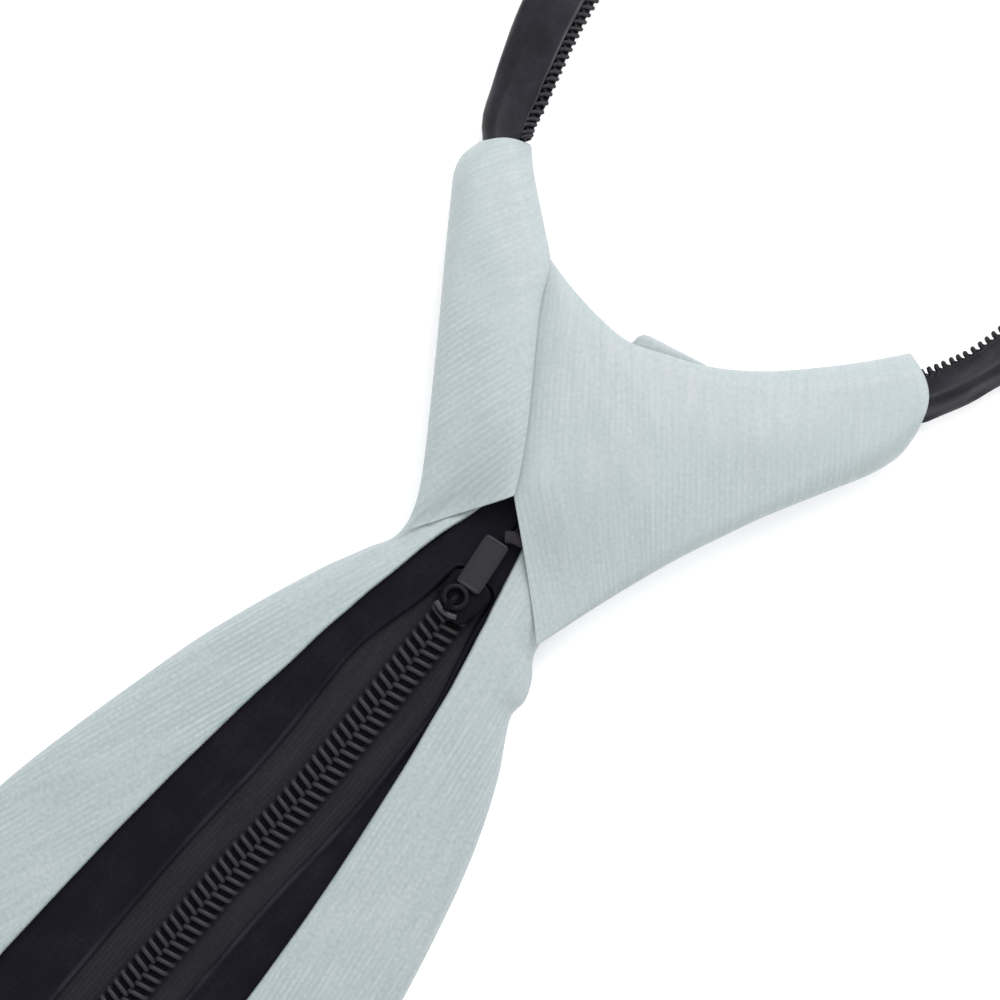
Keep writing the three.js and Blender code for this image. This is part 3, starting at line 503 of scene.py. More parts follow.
SATIN_WEAVE = {"rib": 0.00028, "thread": 0.00090, "share": 0.3, "relief": 0.00001}
FLAT_SATIN = {"ridge": linear(16, 14, 23), "groove": linear(10, 9, 16), "tint": linear(29, 27, 36),
              "roughness": 0.46, "specular": 0.10, "patch_scale": 160.0,
              "gloss": (0.92, 0.86, 1.0, 1.0)}
SATIN = woven("black_satin", **SATIN_WEAVE, **FLAT_SATIN)
# The folded strips carry a painted highlight along the edge of their fold.
PLACKET_SATIN = woven("folded_satin", **SATIN_WEAVE, **FLAT_SATIN, wear_and_highlight=linear(44, 41, 50))
# The straps' satin is the black satin with more shine and a paler tint: the shine is real, the
# paler tint is painted sheen.
SHEEN_PAINTED_SATIN = woven(
    "strap_satin_painted_sheen", ridge=linear(15, 14, 25), groove=linear(8, 7, 14), tint=linear(44, 42, 55),
    roughness=0.36, specular=0.28, patch_scale=260.0, **SATIN_WEAVE)

TAPE = woven(
    "zip_tape", ridge=linear(44, 43, 48), groove=linear(31, 30, 35), tint=linear(38, 36, 42),
    rib=0.00070, thread=0.00060, share=0.5, relief=0.00003, roughness=0.8, specular=0.1)
HOLDER_TAPE = woven(
    "holder_tape", ridge=linear(46, 43, 50), groove=linear(30, 28, 34), tint=linear(42, 39, 46),
    rib=0.00045, thread=0.00045, share=0.5, relief=0.00004, roughness=0.7, specular=0.2)
THREAD = woven(
    "black_thread", ridge=linear(23, 22, 25), groove=linear(14, 14, 16), tint=linear(20, 19, 22),
    rib=0.00030, thread=0.00030, share=0.5, relief=0.00003, roughness=0.9, specular=0.04)
print("woven finishes:", [m.name for m in bpy.data.materials])


# %% Nylon and painted metal
def nylon(name, dull, pale):
    """Teeth: dark nylon, smooth on top and duller in patches."""
    material, tree, shader = material_with(name, 0.45, 0.3)
    spots = noise(tree, object_coordinates(tree), 900.0, 3.0)
    tree.links.new(blend_colours(tree, spots, dull, pale), shader.inputs["Base Color"])
    tree.links.new(remap(tree, spots, 0.3, 0.7, 0.42, 0.58), shader.inputs["Roughness"])
    return material


def painted_metal(name, paint, worn, specular=0.3, metallic=0.2):
    """Dark paint over metal, worn a little where fingers and zip touch it."""
    material, tree, shader = material_with(name, 0.42, specular, metallic)
    place = object_coordinates(tree)
    wear_and_highlight = remap(tree, noise(tree, place, 1400.0, 4.0), 0.52, 0.72, 0.0, 0.5)
    grain = noise(tree, place, 5200.0, 2.0)
    tree.links.new(blend_colours(tree, wear_and_highlight, paint, worn), shader.inputs["Base Color"])
    tree.links.new(remap(tree, grain, 0.3, 0.7, 0.34, 0.5), shader.inputs["Roughness"])
    bump(tree, shader, grain, 0.00002)
    return material


NYLON = nylon("zip_nylon", linear(24, 22, 26), linear(50, 47, 53))
# Darker copy of the same nylon for the right neck half's teeth: painted shade.
SHADED_NYLON = nylon("neck_nylon", linear(8, 7, 10), linear(24, 22, 28))
TAB_METAL = painted_metal("tab_metal", linear(34, 32, 38), linear(42, 40, 45))
BODY_METAL = painted_metal("slider_metal", linear(8, 7, 12), linear(12, 11, 17), specular=0.08,
                           metallic=0.0)
RING_METAL = painted_metal("ring_metal", linear(13, 11, 17), linear(30, 28, 34), specular=0.15,
                           metallic=0.0)
# Pale metal for the ridge on the slider's mouth: its paleness is a painted highlight.
HIGHLIGHT_METAL = painted_metal("painted_highlight_metal", linear(58, 56, 62), linear(84, 82, 88))
print("materials:", len(bpy.data.materials))

# %% [markdown]
# ## Folded strips
# A tie's blade is one piece of cloth with both sides folded in. So its section is a flat panel,
# a round turn at each side, and a flap or lip that comes back over. The wings are the same,
# upside down: panel on top, sides turned under.
# We could draw each section by hand, but a few sizes say it all: how wide it is, how round the
# turns are and how far each lip reaches.

# %% Section of a folded strip
def rounded_turn(radius, angle, roundness):
    """Distance in from the side, and share of the way from panel to lip, at an angle that goes
    from -90 degrees at the panel to 90 at the lip. Roundness 2 is a circle, more is squarer."""
    power = 2 / roundness
    sine, cosine = np.sin(angle), np.maximum(np.cos(angle), 0)
    return radius * (1 - cosine**power), 0.5 + 0.5 * np.sign(sine) * np.abs(sine)**power


def folded_section(width, radii, lips, curl, steps, roundness=2.0):
    """Section round a strip, lip to lip, for every row at once: the distance from side a, and
    the share from panel (0) to lip (1). `curl` is the angle where each turn stops, degrees."""
    lip_steps, turn_steps, panel_steps = steps

    def side(radius, lip):
        """One side of the section, from the lip's end to where the panel starts."""
        start, end = np.radians(curl)[:, None], math.radians(-90)
        angle = mix(start, end, np.linspace(0, 1, turn_steps + 1))
        inward, share = rounded_turn(radius[:, None], angle, roundness)
        reach = np.linspace(1, 0, lip_steps, endpoint=False)[None]
        lips_in = inward[:, :1] + lip[:, None] * reach
        lips_share = np.repeat(share[:, :1], lip_steps, axis=1)
        return (np.concatenate([lips_in, inward], axis=1),
                np.concatenate([lips_share, share], axis=1))

    in_a, share_a = side(radii[0], lips[0])
    in_b, share_b = side(radii[1], lips[1])
    step = np.linspace(0, 1, panel_steps + 1)[1:-1]
    panel = mix(radii[0][:, None], (width - radii[1])[:, None], step)
    distance = np.concatenate([in_a, panel, (width[:, None] - in_b)[:, ::-1]], axis=1)
    share = np.concatenate([share_a, np.zeros_like(panel), share_b[:, ::-1]], axis=1)
    return distance, share


def along_section(grid):
    """Distance round each section from its first point."""
    steps = np.linalg.norm(np.diff(grid, axis=1), axis=2)
    return np.concatenate([np.zeros((len(grid), 1)), np.cumsum(steps, axis=1)], axis=1)


def rib_map(x, y, direction):
    """Map of a cloth whose ribs run in a direction, in degrees to the right of +Y: first number
    across the ribs, second along them. The direction may change slowly over the cloth."""
    angle = np.radians(direction)
    return np.stack([x * np.cos(angle) - y * np.sin(angle),
                     x * np.sin(angle) + y * np.cos(angle)], axis=-1)


# %% [markdown]
# ## The blade
# From the knot the blade widens slowly, then comes to its point. Its flaps part over the zip,
# meet below it, and part again to a narrow hem round the point. The bump on its right edge,
# just under the knot, is cloth that was gathered in there and puffs out.
# We could drape flat cloth by simulation, but its folds would fall where they like, and every
# fold of a pressed tie has its place. So a table holds the edges, and the section does the rest.

# %% Table of the blade
BLADE_CENTRE = 3.5
FULL_WIDTH = 80.0
TIP_Y = -460.0
TIP_START = TIP_Y + FULL_WIDTH / 2
FOLD_HEIGHT = 5.6
TIP_HEIGHT = 3.4
BLADE_WALL = 0.9
ZIP_BOTTOM_Y = -266.0

BLADE = table("y left right left_flap right_flap low high", [
    [1.2, -7.8, 15.0, -2.4, 3.9, 1.5, 9.7],
    [-5, -7.8, 15.0, -3.65, 5.4, 1.5, 9.8],
    [-9, -7.8, 15.0, -4.9, 6.4, 1.5, 9.9],
    [-10.7, -7.9, 15.0, -5.4, 6.8, 1.5, 9.9],
    [-11.4, -9.2, 15.8, -5.55, 6.95, 1.4, 9.9],
    [-14.0, -9.75, 16.25, -6.15, 7.55, 1.3, 9.9],
    [-16.0, -10.2, 16.9, -6.5, 8.1, 1.3, 9.9],
    [-18.6, -11.7, 18.8, -6.95, 8.6, 1.2, 9.9],
    [-21.4, -13.1, 19.9, -7.45, 9.27, 1.1, 9.7],
    [-24.2, -14.5, 19.75, -7.95, 9.87, 1.0, 9.5],
    [-27.2, -15.8, 21.2, -8.32, 10.52, 0.9, 9.3],
    [-32.1, -17.75, 24.0, -9.02, 11.32, 0.7, 8.9],
    [-38.9, -20.25, 26.95, -9.74, 12.54, 0.5, 8.4],
    [-46.3, -22.65, 29.5, -10.74, 13.59, 0.3, 7.8],
    [-55.8, -25.1, 32.05, -11.74, 14.84, 0.1, 7.1],
    [-65.8, -27.55, 34.3, -12.62, 15.92, 0, 6.6],
    [-80, -30.4, 37.0, -13.6, 17.0, 0, 6.1],
    [-98, -32.0, 38.6, -14.5, 17.7, 0, 5.8],
])
FLAP_GAPS = table("y half", [
    [-98, 16.1], [ZIP_BOTTOM_Y, 16.1], [-300, 0.5], [-372, 0.5], [TIP_START, 31.0],
    [-451, 0.3], [TIP_Y, 0.2],
])


# %% The blade below its table
def lower_blade(y):
    """Below the table: the half width closes on its full size, then runs to the point at 45
    degrees, and the flaps' distance from the middle follows straight lines."""
    down = y - BLADE["y"][-1]
    top_half = (BLADE["right"][-1] - BLADE["left"][-1]) / 2
    full = FULL_WIDTH / 2
    half = np.where(y > TIP_START, full - (full - top_half) * np.exp(down / 100), y - TIP_Y)
    opening = np.interp(-y, -FLAP_GAPS["y"], FLAP_GAPS["half"])
    drift = (BLADE["left_flap"][-1] + BLADE["right_flap"][-1]) / 2 - BLADE_CENTRE
    offset = drift * np.exp(down / 60)
    thinning = np.clip((y - ZIP_BOTTOM_Y) / (TIP_Y - ZIP_BOTTOM_Y), 0, 1)
    bulk = (BLADE["high"][-1] - FOLD_HEIGHT) * np.exp(down / 30)
    return {"y": y, "left": BLADE_CENTRE - half, "right": BLADE_CENTRE + half,
            "left_flap": BLADE_CENTRE - opening + offset,
            "right_flap": BLADE_CENTRE + opening + offset,
            "low": np.zeros_like(y), "high": mix(FOLD_HEIGHT, TIP_HEIGHT, thinning) + bulk}


def blade_rows():
    """All sections: the table's, seven between each two, then one every 4 mm to the point."""
    position = np.linspace(0, len(BLADE["y"]) - 1, 8 * (len(BLADE["y"]) - 1) + 1)
    upper = {name: through(BLADE, name, position) for name in BLADE}
    lower = lower_blade(np.concatenate([
        np.arange(-102, TIP_START, -4.0), np.linspace(TIP_START, TIP_Y + 1.9, 14)]))
    return {name: np.concatenate([upper[name], lower[name]]) for name in BLADE}


# %% Where the left wing lies on the flap
# The left wing's end in plan, from corner to corner, as in the last row of its table, and how
# far the left flap gives way under it.
LEFT_WING_END = np.array([[-9.75, -14.5], [-0.5, 0.4]])
PRESSED = 0.4


def smooth_step(value, start, end):
    """0 before the start, 1 after the end and a smooth rise between."""
    f = np.clip((value - start) / (end - start), 0, 1)
    return f * f * (3 - 2 * f)


def pressed_under_wing(x, y, from_edge):
    """How far the left flap gives way under the left wing's end: nothing outside the line of
    that end or at the flap's own edge, and the full depth a little inside both."""
    corner, other = LEFT_WING_END
    way = unit(other - corner)
    inside = (y - corner[1]) * way[0] - (x - corner[0]) * way[1]
    return PRESSED * smooth_step(inside, -0.35, 0.1) * smooth_step(from_edge, 0.6, 2.0)


# %% Blade surface
# Directions of the ribs on the two flaps, in degrees.
LEFT_FLAP_RIBS = 20.0
RIGHT_FLAP_RIBS = -8.0
# From where the flaps lie loosely, and over what length that sets in.
LOOSE_FROM_Y = -18.0
LOOSE_OVER = 40.0


def blade_sheet():
    """Each point of the section goes to x across the blade and to a height between its
    underside and the top of the fold. Away from the knot the flaps lie a little unevenly, and
    the left one gives way under the left wing."""
    rows = blade_rows()
    width = rows["right"] - rows["left"]
    flaps = [rows["left_flap"] - rows["left"], rows["right"] - rows["right_flap"]]
    tallest = (rows["high"] - rows["low"]) / 2
    radii = [np.minimum(tallest, flap * 0.85) for flap in flaps]
    lips = [flap - radius for flap, radius in zip(flaps, radii)]
    curl = np.full(len(width), 90.0)
    distance, share = folded_section(width, radii, lips, curl, steps=(12, 12, 26))
    x = rows["left"][:, None] + distance
    y = np.broadcast_to(rows["y"][:, None], x.shape)
    z = mix(rows["low"][:, None], rows["high"][:, None], share)
    grid = np.stack([x, y, z], axis=-1)
    loose = np.clip((LOOSE_FROM_Y - y) / LOOSE_OVER, 0, 1) * np.clip((share - 0.55) / 0.45, 0, 1)
    grid[..., 2] += loose * (0.22 * unevenness(grid, 26.0, 3) + 0.12 * unevenness(grid, 9.0, 4))
    from_edge = rows["left_flap"][:, None] - x
    grid[..., 2] -= smooth_step(share, 0.6, 1.0) * pressed_under_wing(x, y, from_edge)
    return grid


def blade_map(grid):
    """The cloth laid flat from each flap outwards, so ribs run on round the folds. The two
    halves meet along the middle of the front, which faces the table."""
    reach = along_section(grid)
    y = grid[..., 1]
    from_left = grid[:, :1, 0] - reach
    from_right = grid[:, -1:, 0] + (reach[:, -1:] - reach)
    left_half = np.arange(grid.shape[1]) < grid.shape[1] // 2
    return np.where(left_half[None, :, None], rib_map(from_left, y, LEFT_FLAP_RIBS),
                    rib_map(from_right, y, RIGHT_FLAP_RIBS))


blade = blade_sheet()
add_piece("blade_cloth", [wall(blade, BLADE_WALL, -1, blade_map(blade))], CLOTH,
          ["blade"], cut=flat_size(blade))

# %% [markdown]
# ## The knot
# A strip of the same cloth goes round the front of the knot. From behind, only its turned-in
# edges show, low down between the wings and the table. A tied knot has many layers. Only the
# outer one shows, so it is made as one folded strip, whose sides curl round but don't close.

# %% Knot band
BAND = table("left_x left_y right_x right_y high curl", [
    [-9.5, -10.4, 17.1, -10.4, 8.0, 8],
    [-9.9, -8.2, 17.4, -8.4, 8.0, 20],
    [-11.9, -3, 19.6, -2, 8.2, 45],
    [-15.7, 6, 22.9, 8, 8.6, 60],
    [-18.8, 15, 25.8, 18.5, 8.6, 66],
    [-20.6, 21, 27.4, 28, 8.3, 66],
    [-20.2, 24.6, 25.6, 31.6, 7.2, 66],
])
KNOT_WALL = 1.2
BAND_RADIUS = 4.4
BAND_RIBS = 12.0


def band_sheet():
    """Flat front with both sides turned up and curled in; each section runs from the left
    side's point to the right side's."""
    position = np.linspace(0, len(BAND["high"]) - 1, 37)
    row = {name: through(BAND, name, position) for name in BAND}
    a = np.stack([row["left_x"], row["left_y"]], axis=-1)
    b = np.stack([row["right_x"], row["right_y"]], axis=-1)
    width = np.linalg.norm(b - a, axis=1)
    radii = [np.full(len(width), BAND_RADIUS)] * 2
    lips = [np.zeros(len(width))] * 2
    distance, share = folded_section(width, radii, lips, row["curl"], (1, 16, 18), roundness=2.4)
    distance, share = distance[:, 1:-1], share[:, 1:-1]
    plan = mix(a[:, None], b[:, None], (distance / width[:, None])[..., None])
    return np.concatenate([plan, (row["high"][:, None] * share)[..., None]], axis=-1)


band = band_sheet()
band_uv = rib_map(along_section(band), band[..., 1], BAND_RIBS)
add_piece("knot_band_cloth", [wall(band, KNOT_WALL, 1, band_uv)], CLOTH,
          ["knot_band"], cut=flat_size(band))

# %% [markdown]
# ## The wings
# Each wing is a strip whose sides are turned under. Towards its open mouth the turned sides
# meet and make a tube for the zip strap; towards the knot the strip lies open over what it
# covers. The left wing lies over the right one, and its edge draws the dark seam between them.
# Both ends come down flat on the blade's flaps, where the cloth thins to a soft edge.
# A row of the table is a straight line across the wing, from side a to side b, so both wings
# come from one function, and only their numbers differ.

# %% Tables of the wings
# Columns: the two sides in plan, their heights below and above, the crown of the top, how far
# the turned sides close to a tube, the bow of the row, and where across the crown is highest.
WING_COLUMNS = "ax ay bx by a_low a_high b_low b_high crown shut bow at"
LEFT_WING = table(WING_COLUMNS, [
    [-37.5, 36.5, -31.5, 40.9, 2.4, 11.6, 2.6, 12.0, 0.4, 1, 0.7, 0.5],
    [-38.2, 33.4, -29.1, 38.5, 2.9, 11.8, 3.2, 12.5, 0.5, 1, 0.6, 0.5],
    [-37.5, 30.6, -26.15, 36.05, 3.8, 12.0, 4.8, 13.2, 0.7, 1, 0.4, 0.5],
    [-35.2, 27.1, -22.3, 33.0, 5.2, 12.2, 6.6, 14.2, 0.9, 0.8, 0, 0.5],
    [-31.9, 22.3, -18.3, 29.5, 6.8, 12.4, 13.1, 15.0, 1.1, 0.12, 0, 0.5],
    [-27.7, 16.3, -15.7, 24.5, 8.4, 12.6, 14.1, 15.5, 1.2, 0.1, 0, 0.5],
    [-23.6, 10.4, -12.5, 19.6, 8.5, 12.8, 14.8, 16.0, 1.3, 0.12, 0, 0.5],
    [-18.7, 3.2, -9.2, 14.8, 8.5, 12.8, 15.2, 16.3, 1.3, 0.1, 0, 0.5],
    [-14.6, -2.9, -5.9, 10.0, 8.5, 12.6, 15.3, 16.3, 1.1, 0.1, 0, 0.5],
    [-11.55, -7.9, -3.6, 6.3, 8.6, 12.3, 15.2, 16.1, 0.9, 0.1, 0, 0.5],
    [-10.05, -11.7, -1.8, 3.1, 8.7, 11.9, 15.0, 15.8, 0.6, 0.05, 0, 0.5],
    [-9.75, -14.5, -0.5, 0.4, 8.8, 11.6, 14.8, 15.6, 0.3, 0.02, 0, 0.5],
])
RIGHT_WING = table(WING_COLUMNS, [
    [38.3, 44.4, 30.0, 53.35, 2.4, 11.6, 2.4, 11.6, 0.3, 1, 2.3, 0.5],
    [38.4, 40.7, 27.1, 49.7, 2.9, 11.8, 3.2, 12.0, 0.5, 1, 1.4, 0.5],
    [36.9, 36.1, 22.6, 44.6, 3.9, 12.0, 4.8, 12.4, 0.7, 1, 0.5, 0.5],
    [33.9, 30.4, 17.2, 39.1, 5.6, 12.1, 6.8, 12.7, 1.0, 0.8, 0, 0.5],
    [31.0, 25.05, 12.6, 35.3, 7.2, 12.2, 9.6, 13.0, 1.4, 0.12, 0, 0.5],
    [28.5, 20.15, 8.0, 32.4, 8.4, 12.3, 10.4, 13.1, 1.8, 0.1, 0, 0.5],
    [26.15, 14.9, 3.0, 30.2, 8.5, 12.3, 10.5, 13.1, 2.2, 0.1, 0, 0.5],
    [23.6, 9.0, -2.2, 28.2, 8.5, 12.2, 10.4, 13.0, 2.5, 0.08, 0.4, 0.45],
    [21.0, 1.9, -7.6, 28.1, 8.5, 12.0, 10.4, 12.9, 2.6, 0.06, -0.8, 0.42],
    [18.8, -4.8, -12.8, 28.7, 8.6, 11.7, 10.4, 12.8, 2.6, 0.05, -2.2, 0.4],
    [17.2, -10.1, -16.6, 29.5, 9.2, 11.4, 10.3, 12.6, 2.5, 0.04, -3.2, 0.39],
    [15.95, -14.2, -18.9, 30.1, 10.1, 11.1, 10.2, 12.5, 2.3, 0.03, -4.1, 0.39],
])

# %% Wing surface
WING_WALL = 0.4
WING_TURN = 3.4
# How a wing's end settles on the flap: between which rows it comes down to its first height,
# and between which it then comes down on the flap's top, with its own height and cloth there.
SETTLING_ROWS = (7.2, 10.4)
SETTLED_TOP = 11.4
FLAT_ROWS = (8.6, 10.9)
FLAP_TOP = 9.9
CLEAR_OF_FLAP = 0.04
SETTLED_HEIGHT = 0.36
SETTLED_WALL = 0.17


def wing_sheet(rows, side, seed, settled, sunk):
    """Sections from side a to side b of the strip. The height goes from the crowned top to the
    turned-in underside with the section's share, and the section bows towards the mouth. The
    end comes down flat on the blade's flap, up to the share of the width in `settled`, and
    sinks into it a little where the flap gives way."""
    position = np.linspace(0, len(rows["ax"]) - 1, 8 * (len(rows["ax"]) - 1) + 1)
    row = {name: through(rows, name, position)[:, None] for name in rows}
    a = np.concatenate([row["ax"], row["ay"]], axis=1)
    b = np.concatenate([row["bx"], row["by"]], axis=1)
    width = np.linalg.norm(b - a, axis=1)
    chord = unit(b - a)
    outward = side * np.stack([-chord[:, 1], chord[:, 0]], axis=-1)
    tallest = (row["a_high"] - row["a_low"])[:, 0] / 2
    radius = np.minimum(np.minimum(tallest, width * 0.42), WING_TURN)
    lip = np.maximum(0.3, (width / 2 - radius - 0.15) * row["shut"][:, 0])
    curl = np.full(len(width), 90.0)
    distance, share = folded_section(width, [radius] * 2, [lip] * 2, curl, (6, 12, 26))
    s = distance / width[:, None]
    warped = np.where(s < row["at"], 0.5 * s / row["at"],
                      0.5 + 0.5 * (s - row["at"]) / (1 - row["at"]))
    swell = np.sin(np.pi * np.clip(warped, 0, 1))
    top = mix(row["a_high"], row["b_high"], s) + row["crown"] * swell**0.8
    under = mix(row["a_low"], row["b_low"], s)
    bent = np.where(s < row["at"], (np.clip(s, 0, 1) / row["at"])**1.15, swell)
    arch = np.where(row["bow"] < 0, bent, swell)
    plan = (mix(a[:, None], b[:, None], s[..., None])
            + outward[:, None] * (row["bow"] * arch)[..., None])
    grid = np.concatenate([plan, mix(top, under, share)[..., None]], axis=-1)
    uneven = 0.20 * unevenness(grid, 21.0, seed) + 0.10 * unevenness(grid, 8.0, seed + 1)
    grid[..., 2] += np.clip(1.2 - 1.2 * share, 0, 1) * swell * uneven
    near_end = smooth_step(position[:, None], *SETTLING_ROWS)
    from_seam = 1 - smooth_step(s, *settled)
    drop = smooth_step(position[:, None], *FLAT_ROWS)
    low = FLAP_TOP + CLEAR_OF_FLAP - sunk * drop
    height = mix(mix(SETTLED_TOP, low + SETTLED_HEIGHT, drop), low, share)
    grid[..., 2] = mix(grid[..., 2], height, near_end * from_seam)
    return grid, mix(WING_WALL, SETTLED_WALL, drop * from_seam)


# %% Ribs of the wings, and both wings
LEFT_WING_RIBS = (32.0, 12.0)
RIGHT_WING_RIBS = (-38.5, -41.5)


def wing_map(grid, from_direction, to_direction):
    """The strip laid flat: the middle of the panel stays put, and the rest goes out from it
    along the section by its true distance. Its ribs turn slowly from the mouth to the knot."""
    middle = grid.shape[1] // 2
    reach = along_section(grid)
    reach = reach - reach[:, middle:middle + 1]
    chord = unit(grid[:, middle + 6, :2] - grid[:, middle - 6, :2])
    flat = grid[:, middle:middle + 1, :2] + reach[..., None] * chord[:, None]
    flat = flat - grid[len(grid) // 2, middle, :2]
    share = np.linspace(0, 1, len(grid))[:, None]
    return rib_map(flat[..., 0], flat[..., 1], mix(from_direction, to_direction, share))


for name, rows, side, ribs, seed, settled, sunk in (
        ("left_wing", LEFT_WING, 1, LEFT_WING_RIBS, 11, (0.35, 1.0), PRESSED),
        ("right_wing", RIGHT_WING, -1, RIGHT_WING_RIBS, 17, (0.10, 0.42), 0.0)):
    sheet, thickness = wing_sheet(rows, side, seed, settled, sunk)
    add_piece(name + "_cloth", [wall(sheet, thickness, side, wing_map(sheet, *ribs))], CLOTH,
              [name], cut=flat_size(sheet))

# %% [markdown]
# ## The zip
# A closed coil zip has two nylon coils whose turns mesh along the middle. Each coil is one wire
# wound like a flattened spring, so a wire carried along a flattened helix gives the true
# herringbone: on top, every turn runs slantwise from its outer bend to the middle.
# Modelling a single tooth and repeating it would be lighter, but it would miss how the turns
# run on into each other at the sides.

# %% Route of the zip
TAIL = table("y x z left right", [
    [1.6, 3.0, 6.2, -3.8, 10.4],
    [-6, 3.1, 6.2, -4.2, 10.8],
    [-14, 3.3, 6.2, -5.8, 11.5],
    [-21, 3.5, 6.2, -7.8, 14.5],
    [-32, 3.8, 5.3, -10.9, 18.0],
    [-51, 4.2, 4.0, -12.6, 19.8],
    [-68, 3.4, 3.0, -13.6, 20.1],
    [-88, 3.2, 2.0, -14.6, 20.6],
    [-115, 3.3, 1.6, -15.6, 22.2],
    [-150, 3.4, 1.5, -16.1, 22.9],
    [-200, 3.5, 1.5, -16.3, 23.3],
    [-234, 3.5, 1.5, -15.6, 22.6],
    [-246, 3.5, 2.6, -11.4, 18.4],
    [-260, 3.5, 2.6, -11.4, 18.4],
])
TAPE_THICKNESS = 0.6
GAP = 0.3
CHAIN_HALF = 3.0
COIL_HEIGHT = 1.9
TOOTH_PITCH = 1.55
WIRE = 0.40
TAIL_END_Y = -262.0
TAIL_END_LENGTH = 12.0
ZIP_END = TAIL_END_Y + TAIL_END_LENGTH + GAP
CHAIN_TOP_Y = -17.8
CHAIN_OVERLAP = 0.42
SIDES = {"left": -1, "right": 1}


def coil_middle(y):
    """Height of the coils' middle: half a coil above the tape, and a little room for the
    thread between."""
    return at_y(TAIL, "z", y) + TAPE_THICKNESS + GAP * 0.4 + COIL_HEIGHT / 2


# %% Wire wound into a coil
def wound_wire(centre, across, up, turns_at, half_width, half_height, radius, heads, sides=7):
    """Wire round a flattened helix. At each angle of the winding its middle is
    centre + across * half_width * cos + up * half_height * -sin, and a small ring stands
    round it, square to the wire's own direction. `heads` widens or narrows the outer bends."""
    cosine, sine = np.cos(turns_at)[:, None], np.sin(turns_at)[:, None]
    radial = unit(across * cosine / half_width - up * sine / half_height)
    middle = centre + across * half_width * cosine - up * half_height * sine
    along = unit(np.gradient(middle, axis=0))
    radial = unit(radial - (radial * along).sum(axis=1, keepdims=True) * along)
    sideways = np.cross(along, radial)
    ring = np.linspace(0, 2 * np.pi, sides, endpoint=False)
    head = 1 + heads * np.clip(cosine, 0, 1)**4
    rings = (middle[:, None] + radial[:, None] * (radius * np.cos(ring))[None, :, None]
             + sideways[:, None] * (radius * head * np.sin(ring))[..., None])
    return loft(rings)


def tail_coil(side):
    """One coil of the closed chain, from the slider's mouth to the satin end. The left coil is
    half a tooth behind the right one, so that their turns mesh past the middle."""
    count = int((CHAIN_TOP_Y - ZIP_END) / TOOTH_PITCH)
    winding = np.linspace(0, 2 * np.pi * count, 22 * count)
    behind = TOOTH_PITCH / 2 if side < 0 else 0
    y = CHAIN_TOP_Y - behind - TOOTH_PITCH * winding / (2 * np.pi)
    inner, outer = -CHAIN_OVERLAP, CHAIN_HALF
    half_width = (outer - inner) / 2 - WIRE
    x = at_y(TAIL, "x", y) + side * (outer + inner) / 2
    centre = np.stack([x, y, coil_middle(y)], axis=-1)
    across = np.tile([-float(side), 0.0, 0.0], (len(y), 1))
    up = np.tile([0.0, 0.0, 1.0], (len(y), 1))
    return wound_wire(centre, across, up, winding, half_width, COIL_HEIGHT / 2 - WIRE, WIRE, 0.12)


for name, side in SIDES.items():
    add_piece(name + "_coil_wire", [tail_coil(side)], NYLON, [name + "_coil"])

# %% [markdown]
# ## Cord inside each coil
# A real coil is wound round a cord, and the thread that sews it down goes through that cord.
# It hardly shows, so a plain flat cord is enough. Without it the light would fall through
# between the turns.

# %% Cord inside each coil
CORE_TOP_Y = -19.0
CORE_FROM_MIDDLE = 1.3
CORE_HALF_WIDTH = 0.95
CORE_HALF_HEIGHT = 0.13


def coil_core(side):
    """Flat cord that runs inside the coil: an ellipse carried down the zip."""
    y = np.linspace(CORE_TOP_Y, ZIP_END + 0.6, 150)
    x = at_y(TAIL, "x", y) + side * CORE_FROM_MIDDLE
    z = coil_middle(y)
    angle = np.linspace(0, 2 * np.pi, 10, endpoint=False)
    rings = np.stack([x[:, None] + CORE_HALF_WIDTH * np.cos(angle), np.repeat(y[:, None], 10, 1),
                      z[:, None] + CORE_HALF_HEIGHT * np.sin(angle)], axis=-1)
    return loft(rings, uv=rings[..., :2])


for name, side in SIDES.items():
    add_piece(name + "_coil_core", [coil_core(side)], THREAD)

# %% [markdown]
# ## Tapes and satin strips behind the zip
# The coils are sewn to woven tapes. Over the tapes lie two satin strips, folded along the edge
# next to the teeth, so that edge is round and catches the light, and a painted highlight along
# it makes it paler still. They close up above the slider, where the zip goes into the knot.
# The tapes are flat sheets between two lines. The strips need their fold, so the round edge is
# part of their section, which is simpler than folding a sheet.

# %% Tapes
SLIDER_X = 3.2
SLIDER_Y = -16.0
SLIDER_LENGTH = 8.0
SLIDER_WIDTH = 7.0
SLIDER_GAP = 0.14
PLACKET_INNER = {-1: 7.5, 1: 6.8}
PLACKET_THICKNESS = 1.1
TAPE_HALF = 8.4
# Where the post and the knot end, as distances down the zip, and what the tape's edges keep
# from the zip's middle there.
POST_END = (14.7, 15.7)
PARTED_HALF = 1.3
CLOSED_HALF = 0.2
KNOT_END = (16.0, 17.0)
KNOT_TAPE_HALF = 6.2


def strip_sheet(y, x_from, x_to, z, columns):
    """Flat sheet between two lines in x, a row for each y."""
    x = mix(x_from[:, None], x_to[:, None], np.linspace(0, 1, columns))
    return np.stack([x, np.broadcast_to(y[:, None], x.shape),
                     np.broadcast_to(z[:, None], x.shape)], axis=-1)


